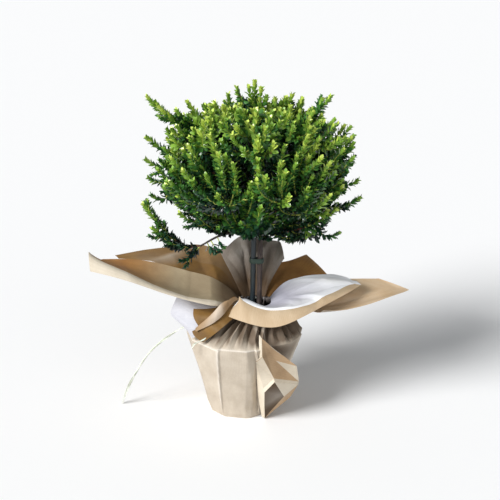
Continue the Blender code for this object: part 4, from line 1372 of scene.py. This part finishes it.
# How much thinner it is between joints, and at its cut top
BETWEEN_JOINTS, CUT_EDGE = 0.0003, 0.0006
CANE_STEPS, CANE_SIDES, CANE_EDGE, CANE_RELIEF = 120, 24, 40, (0.00005, 20)

# The cane's tones are darker than its own colour, as painted shade for the deep shade it stands in
cane = grained(
    "cane", 0.42, (700, 700, 25), (1.0, 4, 0.6), (0.35, 0.65), ("141B1E", "2F3B41"), (0.0003, 0.5)
)
add_patches(cane, (45, 3), (0.45, 0.7), 0.5, "212824")


def stake():
    shares = [step / CANE_STEPS for step in range(CANE_STEPS + 1)]
    path = [STAKE_FOOT.lerp(STAKE_TOP, share) for share in shares]
    radii = []
    for share in shares:
        swell = sum(math.exp(-(((share - joint) / JOINT_HALF) ** 2)) for joint in STAKE_JOINTS)
        radii.append(STAKE_RADIUS - BETWEEN_JOINTS + JOINT_SWELL * swell)
    radii[-1] -= CUT_EDGE
    shape = bmesh.new()
    limb(shape, path, radii, CANE_SIDES, *CANE_RELIEF)
    solid_piece("cane", shape, cane, CANE_EDGE, "cane", "stake")


stake()

# %% The tie round cane and stem
TIE_HEIGHT, TIE_CLEARANCE = 0.217, 0.0004
TIE_BAND_WIDTH, TIE_BAND_THICKNESS = 0.0068, 0.0012
TIE_END_STEPS, TIE_SECTION_STEPS, TIE_EDGE = 14, 12, 50

soft_tie = grained("soft_tie", 0.5, EVEN, (500, 3), WHOLE, ("16261F", "30463A"), (0.0004, 0.6))


def stake_tie():
    share = (TIE_HEIGHT - STAKE_FOOT.z) / (STAKE_TOP.z - STAKE_FOOT.z)
    at_stake, at_stem = STAKE_FOOT.lerp(STAKE_TOP, share), stem_middle(TIE_HEIGHT)
    around = STAKE_RADIUS + TIE_CLEARANCE + TIE_BAND_THICKNESS / 2
    shape = bmesh.new()
    rings = []
    for middle, first in ((at_stake, math.pi / 2), (at_stem, -math.pi / 2)):
        for end_step in range(TIE_END_STEPS + 1):
            bearing = first + math.pi * end_step / TIE_END_STEPS
            out = Vector((math.cos(bearing), math.sin(bearing), 0))
            ring = []
            for step in range(TIE_SECTION_STEPS):
                angle = 2 * math.pi * step / TIE_SECTION_STEPS
                point = middle + out * (around + math.cos(angle) * TIE_BAND_THICKNESS / 2)
                point.z = TIE_HEIGHT + math.sin(angle) * TIE_BAND_WIDTH / 2
                ring.append(shape.verts.new(point))
            rings.append(ring)
    for low, high in zip(rings, rings[1:] + rings[:1]):
        ring_faces(shape, low, high)
    bmesh.ops.recalc_face_normals(shape, faces=shape.faces)
    solid_piece("soft_tie", shape, soft_tie, TIE_EDGE, "plant_tie", "stake_tie")


stake_tie()

# %% [markdown]
# ## How the crown grows
#
# The crown is too dense to place by hand, so it grows by a rule, the same one that made the CAD
# model's solids, carried on to finer twigs. Every mass has a heart at the end of its bough. Long
# twigs run from the heart to tips that are spread evenly over the crown's outline. Finer shoots
# leave those twigs and bend up towards the light on their way to tips of their own. All stays
# inside one outline, a rounded block that is flatter on top than below, apart from a few leaders
# that stand out of it as in the picture.

# %% The crown's outline and its leaders
CROWN_RADIUS = 0.137
CROWN_MIDDLE, CROWN_TOP, CROWN_FOOT = 0.348, 0.429, 0.260
CROWN_SQUARENESS = 2.9
# How much nearer the outline comes at the left, and how far its foot rises towards the front
LEFT_CUT, FRONT_RISE = 0.009, 0.42
# Where the leaders' tips are seen, to the right and up, in millimetres at the plant's middle
LEADERS = [
    (-118, 435), (-108, 428), (-101, 419), (-92, 412), (-80, 415), (-67, 428), (-40, 428),
    (-17, 443), (-5, 446), (10, 448), (17, 457), (25, 446), (31, 436), (57, 439), (65, 443),
    (78, 437), (102, 431), (112, 436), (140, 398), (143, 350), (149, 325), (151, 300), (125, 252),
    (93, 254), (-122, 385), (-123, 354), (-118, 328), (-116, 305),
]
LEADER_DEPTHS = (0, -14, 14, -28, 28)
BEARING_SPREAD, LEAST_REACH = 0.15, 0.05
VIEW_SLOPE = math.tan(VIEW_DROP)
STRAY_TIPS = [
    (-124, -40, 304), (-113, -43, 274), (-78, -46, 232), (-66, -34, 238), (-30, -38, 244),
    (-36, -36, 240), (-25, -32, 247),
]


def crown_reach(point):
    """Under 1 inside the crown's outline."""
    radius = CROWN_RADIUS - (LEFT_CUT if point.x < CROWN_X else 0.0)
    out = math.hypot(point.x - CROWN_X, point.y - CROWN_Y) / radius
    foot = CROWN_FOOT + FRONT_RISE * max(0.0, CROWN_Y - point.y)
    rise = point.z - CROWN_MIDDLE
    up = rise / (CROWN_TOP - CROWN_MIDDLE) if rise > 0 else rise / (foot - CROWN_MIDDLE)
    return out**CROWN_SQUARENESS + abs(up) ** CROWN_SQUARENESS


def mass_of(point):
    """The name of the crown's mass whose heart is nearest: masses meet midway between hearts."""
    names = [name for name in HEARTS if name != "stray"]
    return min(names, key=lambda name: (HEARTS[name] - point).length_squared)


def spread_tips(count, low, high, draw):
    """Tips spread evenly over all ways from the crown's middle, between two shares of its reach."""
    middle = Vector((CROWN_X, CROWN_Y, CROWN_MIDDLE))
    tips = []
    for i in range(count):
        height = 1 - 2 * (i + 0.5) / count
        bearing = i * math.pi * (3 - math.sqrt(5)) + draw.uniform(-BEARING_SPREAD, BEARING_SPREAD)
        out = math.sqrt(1 - height * height)
        way = Vector((out * math.cos(bearing), out * math.sin(bearing), height))
        reach = LEAST_REACH
        while crown_reach(middle + way * reach) < 1:
            reach += MM
        tips.append(middle + way * reach * draw.uniform(low, high))
    return tips


def leader_tips():
    tips = []
    for x, height in LEADERS:
        places = [Vector((x, y, height - y * VIEW_SLOPE)) * MM for y in LEADER_DEPTHS]
        tips.append(min(places, key=lambda place: (HEARTS[mass_of(place)] - place).length))
    return tips


# %% Curved twigs and shoots
# Tips of each kind: how many, and between which shares of the way out to the crown's outline
MAIN_TIPS, OUTER_TIPS, INNER_TIPS = (84, 0.88, 0.95), (450, 0.80, 0.97), (300, 0.3, 0.78)
SHOOT_STEPS, SHOOT_SEED = 12, 41
# How far shoots lean out at the crown's edge, to the sides, to front and back, and more when low
SIDE_LEAN, DEPTH_LEAN, LOW_LEAN = 0.80, 0.34, 0.7
COLUMN_LENGTH = 0.085
SHORTEST_SHOOT = 0.035
# The handles of a smooth line at its start and its end, as shares of its reach
START_HANDLE, LONG_HANDLE, FINE_HANDLE, SPRIG_HANDLE = 0.33, 0.45, 0.55, 0.38
# How far ways are turned at random, where twigs and shoots start and where they end
LONG_TURN, STRAY_TURN, FINE_TURN, LONG_TIP_TURN, FINE_TIP_TURN = 0.25, 0.1, 0.2, 0.08, 0.16
# A stray shoot may leave its twig level and to the left, and all of them turn up to the light
STRAY_WAY = Vector((-0.95, -0.05, -0.25)).normalized()
STRAY_RISE = Vector((0, 0, 0.6))
STRAY_END_POINTS = 10


def rising(tip):
    """The way a shoot points at its tip: up, and leaning out from the crown's middle."""
    low = 1 - (tip.z - CROWN_FOOT) / (CROWN_TOP - CROWN_FOOT)
    lean = (1 + LOW_LEAN * low) / CROWN_RADIUS
    x = (tip.x - CROWN_X) * SIDE_LEAN * lean
    y = (tip.y - CROWN_Y) * DEPTH_LEAN * lean
    return Vector((x, y, 1)).normalized()


def bend(start, start_way, end, end_way, handle):
    """A smooth line that leaves one way and arrives another."""
    reach = (end - start).length
    first, second = start + start_way * reach * START_HANDLE, end - end_way * reach * handle
    line = []
    for step in range(SHOOT_STEPS + 1):
        t = step / SHOOT_STEPS
        u = 1 - t
        line.append(start * u**3 + first * (3 * u * u * t) + second * (3 * u * t * t) + end * t**3)
    return line


def wander(way, amount, draw):
    """A way turned a little at random."""
    shift = Vector([draw.uniform(-amount, amount) for _ in range(3)])
    return (way + shift).normalized()


def nearest_twig(tip, base, twigs):
    """Where on the mass's long twigs a shoot starts, and the way that twig runs there."""
    best = None
    for line in twigs:
        for i in range(1, len(line) - 2):
            off = (base - line[i]).length
            if (tip - line[i]).length > SHORTEST_SHOOT and (best is None or off < best[0]):
                best = (off, line[i], (line[i + 1] - line[i]).normalized())
    return best[1:] if best else (twigs[0][1], (twigs[0][2] - twigs[0][1]).normalized())


def stray_start(tip):
    """Where a shoot of the stray spray leaves its bare twig."""
    return min(BOUGHS["stray"][-STRAY_END_POINTS:], key=lambda place: (place - tip).length)


def long_twig(name, tip, way, draw):
    """A twig from the heart of its mass, or from the stray twig, to its tip."""
    stray = name == "stray"
    start = stray_start(tip) if stray else HEARTS[name]
    start_way = STRAY_WAY if stray and tip.z > start.z else (tip - start).normalized()
    start_way = wander(start_way, STRAY_TURN if stray else LONG_TURN, draw)
    return bend(start, start_way, tip, wander(way, LONG_TIP_TURN, draw), LONG_HANDLE)


def grow_shoots(draw):
    """Every shoot of the crown as (mass, line, kind)."""
    long_twigs = {name: [] for name in HEARTS}
    main = leader_tips() + spread_tips(*MAIN_TIPS, draw)
    main = [(mass_of(tip), tip, rising(tip)) for tip in main]
    for tip in metres(STRAY_TIPS):
        out = (tip - stray_start(tip)).normalized()
        main.append(("stray", tip, (out + STRAY_RISE).normalized()))
    shoots = []
    for name, tip, way in main:
        line = long_twig(name, tip, way, draw)
        long_twigs[name].append(line)
        shoots.append((name, line, "long"))
    for kind, tips in (("outer", OUTER_TIPS), ("inner", INNER_TIPS)):
        for tip in spread_tips(*tips, draw):
            name = mass_of(tip)
            if not long_twigs[name]:
                continue
            way = wander(rising(tip), FINE_TIP_TURN, draw)
            start, start_way = nearest_twig(tip, tip - way * COLUMN_LENGTH, long_twigs[name])
            start_way = wander(start_way, FINE_TURN, draw)
            shoots.append((name, bend(start, start_way, tip, way, FINE_HANDLE), kind))
    return shoots


SHOOTS = grow_shoots(random.Random(SHOOT_SEED))
print("shoots", len(SHOOTS))

# %% [markdown]
# ## One leaf
#
# A myrtle's leaf is a small pointed oval, a little folded along its midrib and bent back at the
# tip. It is drawn once as a closed blade of 16 triangles and repeated. More faces wouldn't show at
# this size, and there are many thousands of leaves.

# %% The leaf, 1 long along Y, facing up Z
# Place along the leaf, width, and height of the midrib
LEAF_STATIONS = [(0.30, 0.45, 0.012), (0.76, 0.47, -0.02)]
LEAF_FOLD, LEAF_DEPTH, LEAF_DROOP = 0.07, 0.05, 0.11
LEAF_EDGE = 75


def leaf_blade():
    """Root, two stations across, and tip, with edges above the midrib."""
    shape = bmesh.new()
    root, tip = shape.verts.new((0, 0, 0)), shape.verts.new((0, 1, -LEAF_DROOP))
    rows = []
    for place, width, rise in LEAF_STATIONS:
        left = shape.verts.new((-width / 2, place, rise + LEAF_FOLD))
        right = shape.verts.new((width / 2, place, rise + LEAF_FOLD))
        top = shape.verts.new((0, place, rise))
        under = shape.verts.new((0, place, rise - LEAF_DEPTH))
        rows.append((left, top, right, under))
    for i in range(4):
        beside = (i + 1) % 4
        shape.faces.new((root, rows[0][beside], rows[0][i]))
        shape.faces.new((tip, rows[-1][i], rows[-1][beside]))
        for low, high in zip(rows, rows[1:]):
            shape.faces.new((low[i], low[beside], high[beside], high[i]))
    bmesh.ops.recalc_face_normals(shape, faces=shape.faces)
    bmesh.ops.triangulate(shape, faces=shape.faces)
    mesh = mesh_from(shape, "leaf")
    shade(mesh, LEAF_EDGE)
    return bpy.data.objects.new("leaf", mesh)


LEAF = leaf_blade()
print("leaf", len(LEAF.data.polygons), "triangles")

# %% [markdown]
# ## Leaves along a shoot
#
# Leaves stand in pairs, and each pair is turned a quarter from the one below. At the tip they are
# small, close together and point forwards, further down they are full size and stand out more,
# and at the foot of a shoot many have dropped. A short side sprig grows in some of the angles
# between leaf and shoot.

# %% Sizes and greens of the leaves
LEAF_LENGTH, TIP_LEAF_LENGTH = 0.0106, 0.0080
PAIR_STEP, TIP_PAIR_STEP = 0.0033, 0.0017
# How far leaves keep from the wood, whose lines are read at every so many points
LEAF_ROOM, LIMB_STRIDE = 0.0042, 7
SPRIG_GAP, STRAY_SPRIG_GAP = 0.021, 0.006
# Greens from young leaves to old ones; inner and low shoots also take darker ones as painted shade
GREENS = [colour("C6DB62"), colour("88B044"), colour("427532"), colour("20462D"), colour("112420")]


def line_reader(line):
    """Gives a point and a way at a distance back from a line's end."""
    lengths = [(b - a).length for a, b in zip(line, line[1:])]

    def read(back):
        for i in range(len(lengths) - 1, -1, -1):
            if back <= lengths[i] or i == 0:
                share = min(back / lengths[i], 1.0)
                way = (line[i + 1] - line[i]).normalized()
                return line[i + 1].lerp(line[i], share), way
            back -= lengths[i]

    return read, sum(lengths)


def near_limb(point, limbs):
    """True where a point is too near a stretch of stem, cane or bough."""
    for start, end, distance in limbs:
        stretch = end - start
        share = max(0.0, min(1.0, (point - start).dot(stretch) / stretch.length_squared))
        if (start + stretch * share - point).length < distance:
            return True
    return False


def wood_lines():
    limbs = [(start, end, LEAF_ROOM + STEM_RADIUS) for start, end in zip(STEM_ROUTE, STEM_ROUTE[1:])]
    limbs.append((STAKE_FOOT, STAKE_TOP, LEAF_ROOM + STAKE_RADIUS))
    for line in BOUGHS.values():
        coarse = zip(line[::LIMB_STRIDE], line[LIMB_STRIDE::LIMB_STRIDE])
        limbs += [(start, end, LEAF_ROOM) for start, end in coarse]
    return limbs


LIMBS = wood_lines()


# %% Dress one shoot with pairs of leaves
# Lengths count back from a shoot's tip, apart from the bare part at its foot
FIRST_PAIR, BARE_FOOT, SPRIG_FOOT = 0.0006, 0.003, 0.012
# Where leaves and steps are full, and the power by which leaves grow
FULL_LEAF, FULL_STEP, LEAF_POWER = 0.018, 0.012, 0.7
LEAF_ANGLES, LEAF_ANGLE_PLACES, ANGLE_SPREAD = (18, 40, 50), (0, 0.012, 0.060), (-7, 9)
# Leaves start to drop here, and each metre past the second place drops so many of them
DROP_FROM, DROP_ZERO, DROP_RATE = 0.045, 0.03, 4
# Steps through the greens: one soon after the tip, and one more with each such length
SOON, SOON_LENGTH, GREEN_LENGTH, GREEN_SPREAD = 0.8, 0.008, 0.030, 0.6
SIZE_SPREAD, LEAF_TURN, PAIR_TURN = (0.85, 1.12), 0.16, 0.2
FIRST_SIDE = Vector((0.3, 0.2, 0.9))
SPRIG_LENGTHS, SPRIG_LEAFY, SPRIG_SCALE, SPRIG_SHADE = (0.012, 0.024), 0.018, 0.82, 0.3
# A sprig's line keeps one point in so many
SPRIG_STRIDE = 3
# A sprig leaves mostly outwards and ends mostly along its shoot, turned up a little
SPRIG_ALONG, SPRIG_OUT, SPRIG_UP = 0.8, 0.45, Vector((0, 0, 0.3))


def dress(line, leafy, tone_and_shade, draw, scale=1.0):
    """Leaves of one shoot as (root, way, face, size, green)."""
    read, whole = line_reader(line)
    leaves = []
    back = FIRST_PAIR
    side = line[-1].cross(FIRST_SIDE).normalized()
    turn = draw.uniform(0, math.pi)
    while back < min(leafy, whole - BARE_FOOT):
        root, way = read(back)
        side = (side - way * side.dot(way)).normalized()
        grown = min(1.0, back / FULL_LEAF)
        size = (TIP_LEAF_LENGTH + (LEAF_LENGTH - TIP_LEAF_LENGTH) * grown**LEAF_POWER) * scale
        degrees = np.interp(back, LEAF_ANGLE_PLACES, LEAF_ANGLES) + draw.uniform(*ANGLE_SPREAD)
        angle = math.radians(degrees)
        out = Matrix.Rotation(turn, 3, way) @ side
        darker = tone_and_shade + SOON * (1 - math.exp(-back / SOON_LENGTH)) + back / GREEN_LENGTH
        for sign in (1, -1):
            if back > DROP_FROM and draw.random() < (back - DROP_ZERO) * DROP_RATE:
                continue
            spread = wander(out * sign, LEAF_TURN, draw)
            along = (way * math.cos(angle) + spread * math.sin(angle)).normalized()
            face = (way * math.sin(angle) - spread * math.cos(angle)).normalized()
            green = darker + draw.uniform(-GREEN_SPREAD, GREEN_SPREAD)
            green = int(max(0, min(len(GREENS) - 1, green)))
            if not near_limb(root + along * size * 0.5, LIMBS):
                leaves.append((root, along, face, size * draw.uniform(*SIZE_SPREAD), green))
        turn += math.pi / 2 + draw.uniform(-PAIR_TURN, PAIR_TURN)
        back += (TIP_PAIR_STEP + (PAIR_STEP - TIP_PAIR_STEP) * min(1.0, back / FULL_STEP)) * scale
    return leaves


def sprigs(line, leafy, least, draw):
    """Short side shoots in the angles of the leaves, at least so far apart."""
    read, whole = line_reader(line)
    found = []
    back = draw.uniform(1, 2) * least
    while back < min(leafy, whole - SPRIG_FOOT):
        root, way = read(back)
        out = way.orthogonal().normalized()
        out.rotate(Matrix.Rotation(draw.uniform(0, 2 * math.pi), 3, way))
        end_way = (way + out * SPRIG_OUT + SPRIG_UP).normalized()
        reach = draw.uniform(*SPRIG_LENGTHS)
        start_way = (way * SPRIG_ALONG + out).normalized()
        end = root + (start_way + end_way) * reach * 0.5
        found.append((back, bend(root, start_way, end, end_way, SPRIG_HANDLE)[::SPRIG_STRIDE]))
        back += draw.uniform(1, 2) * least
    return found


def group_of(mass):
    """The group whose leaves a mass joins: the front or back half of a tier, or the stray spray."""
    tier = {"cap": "upper"}.get(mass, mass).split("_")[0]
    half = "front" if HEARTS[mass].y < CROWN_Y - MM else "back"
    return tier if tier == "stray" else f"{tier}_{half}"


# %% Dress the whole crown
# How much of a shoot bears leaves, and its start among the greens: a random part, then more steps
# as painted shade for an inner shoot and for a low one
LEAFY, STRAY_LEAFY = (0.070, 0.100), 0.120
FRESH_SPREAD, INNER_SHADE = 1.2, 1.2
LEAF_SEED = 7
# Shoots of the stray spray that end below this height take darker greens, and the others lighter ones
HANGING_TIP, HANGING_SHADE, STANDING_SHADE = 0.250, 1.5, -0.5


def dress_crown(shoots, draw):
    """All twig lines and leaves, by group."""
    groups = {group_of(name): {"lines": [], "leaves": []} for name in HEARTS}
    for name, line, kind in shoots:
        group = groups[group_of(name)]
        height = (line[-1].z - CROWN_FOOT) / (CROWN_TOP - CROWN_FOOT)
        inner = INNER_SHADE if kind == "inner" else 0.0
        # A random tone, then painted shade: more steps to darker greens for an inner shoot and a low one
        tone_and_shade = draw.uniform(0.0, FRESH_SPREAD) + inner + (1 - height)
        leafy, least = draw.uniform(*LEAFY), SPRIG_GAP
        if name == "stray":
            tone_and_shade += HANGING_SHADE if line[-1].z < HANGING_TIP else STANDING_SHADE
            leafy, least = STRAY_LEAFY, STRAY_SPRIG_GAP
        group["lines"].append((line, kind))
        group["leaves"] += dress(line, leafy, tone_and_shade, draw)
        for back, sprig in sprigs(line, leafy, least, draw):
            group["lines"].append((sprig, "sprig"))
            darker = tone_and_shade + SPRIG_SHADE + back / GREEN_LENGTH
            group["leaves"] += dress(sprig, SPRIG_LEAFY, darker, draw, SPRIG_SCALE)
    return groups


GROUPS = dress_crown(SHOOTS, random.Random(LEAF_SEED))
for group_name, group in GROUPS.items():
    print(group_name, "lines", len(group["lines"]), "leaves", len(group["leaves"]))

# %% [markdown]
# ## Leaves and twigs as meshes
#
# One tree puts the leaf on every point, turned by two stored directions: the way it points and
# the way its upper face looks. The greens are dealt out by spray and by distance from the tip, as
# plain colours, with darker greens on inner and low shoots as painted shade, and the tree gives
# each green its own material. Another tree turns the lines into round twigs, yellow-green where
# they are young and red-brown where they are old.


# %% Greens as glossy leaf finishes
LEAF_GLOSS = {"Roughness": 0.35, "Coat Weight": 0.6, "Coat Roughness": 0.2}
LEAF_MATERIALS = [
    Finish(f"leaf_green_{number + 1}", {"Base Color": tone, **LEAF_GLOSS}).material
    for number, tone in enumerate(GREENS)
]

# %% The tree that sets a leaf on every point
leaf_tree, given = new_tree("leaves_on_points", {"Leaf": "Object"})


def stored(graph, label, kind):
    return graph.node("GeometryNodeInputNamedAttribute", {"data_type": kind}, {"Name": label})


blade = leaf_tree.node("GeometryNodeObjectInfo", {}, {"Object": given["Leaf"]}, "Geometry")
way = {"Vector": stored(leaf_tree, "way", "FLOAT_VECTOR")}
pointing = leaf_tree.node("FunctionNodeAlignRotationToVector", {"axis": "Y"}, way)
face = {"Rotation": pointing, "Vector": stored(leaf_tree, "face", "FLOAT_VECTOR")}
round_y = {"axis": "Z", "pivot_axis": "Y"}
facing = leaf_tree.node("FunctionNodeAlignRotationToVector", round_y, face)
size = stored(leaf_tree, "size", "FLOAT")
set_leaves = {"Points": given["Geometry"], "Instance": blade, "Rotation": facing, "Scale": size}
leafy_points = leaf_tree.node("GeometryNodeInstanceOnPoints", {}, set_leaves)
close_tree(leaf_tree, leafy_points, LEAF_MATERIALS, stored(leaf_tree, "green", "INT"), smooth=False)

# %% The tree that turns lines into twigs
TWIG_LOOKS = {"young_shoot": ("B5BE58", 0.5), "red_twig": ("7A4A35", 0.6), "old_twig": ("5A4036", 0.8)}
TWIG_MATERIALS = [
    Finish(name, {"Base Color": colour(tone), "Roughness": rough}).material
    for name, (tone, rough) in TWIG_LOOKS.items()
]

twig_tree, given = new_tree("twigs_on_lines", {"Sides": "Int"})
line = twig_tree.node("GeometryNodeMeshToCurve", {}, {"Mesh": given["Geometry"]})
section = circle(twig_tree, given["Sides"], 1.0)
tubes = tube(twig_tree, line, section, stored(twig_tree, "thickness", "FLOAT"))
close_tree(twig_tree, tubes, TWIG_MATERIALS, stored(twig_tree, "age", "INT"))

# %% Grow each group
YOUNG_LENGTH, INNER_YOUNG_LENGTH, RED_LENGTH = 0.055, 0.0385, 0.085
TWIG_TIP_RADIUS, TWIG_SWELL, TWIG_SIDES = 0.0006, 0.009, 5
POINT_VALUES = ("way", "face", "size", "green", "thickness", "age")


def twig_mesh(name, lines):
    """Lines whose points know their radius and age, from their distance to the shoot's tip."""
    radii, ages = [], []
    for line, kind in lines:
        young = INNER_YOUNG_LENGTH if kind == "inner" else YOUNG_LENGTH
        back = 0.0
        backs = [back]
        for point, tipwards in zip(line[-2::-1], line[:0:-1]):
            back += (tipwards - point).length
            backs.append(back)
        radii += [TWIG_TIP_RADIUS + TWIG_SWELL * back for back in reversed(backs)]
        ages += [0 if back < young else 1 + (back > RED_LENGTH) for back in reversed(backs)]
    mesh = line_mesh(name, [line for line, _ in lines])
    store(mesh, "thickness", "FLOAT", radii)
    store(mesh, "age", "INT", ages)
    return mesh


def leaf_mesh(name, leaves):
    """A point for every leaf, with the way it points and faces, its size and its green."""
    roots, ways, faces, sizes, greens = zip(*leaves)
    mesh = bpy.data.meshes.new(name)
    mesh.from_pydata(list(roots), [], [])
    store(mesh, "way", "FLOAT_VECTOR", [tuple(way) for way in ways])
    store(mesh, "face", "FLOAT_VECTOR", [tuple(face) for face in faces])
    store(mesh, "size", "FLOAT", sizes)
    store(mesh, "green", "INT", greens)
    return mesh


def grow(group_name, group):
    nodes = [f"foliage_{mass}" for mass in HEARTS if group_of(mass) == group_name]
    twigs, leaves = f"twigs_{group_name}", f"leaves_{group_name}"
    pieces = [
        run_tree(twigs, twig_mesh(twigs, group["lines"]), twig_tree.tree, {"Sides": TWIG_SIDES}),
        run_tree(leaves, leaf_mesh(leaves, group["leaves"]), leaf_tree.tree, {"Leaf": LEAF}),
    ]
    for piece in pieces:
        attributes = piece.data.attributes
        for label in POINT_VALUES:
            if label in attributes:
                attributes.remove(attributes[label])
        stand_for(piece, "foliage", *nodes)
        print(piece.name, sum(len(face.vertices) - 2 for face in piece.data.polygons), "triangles")


for group_name, group in GROUPS.items():
    grow(group_name, group)
bpy.data.objects.remove(LEAF)
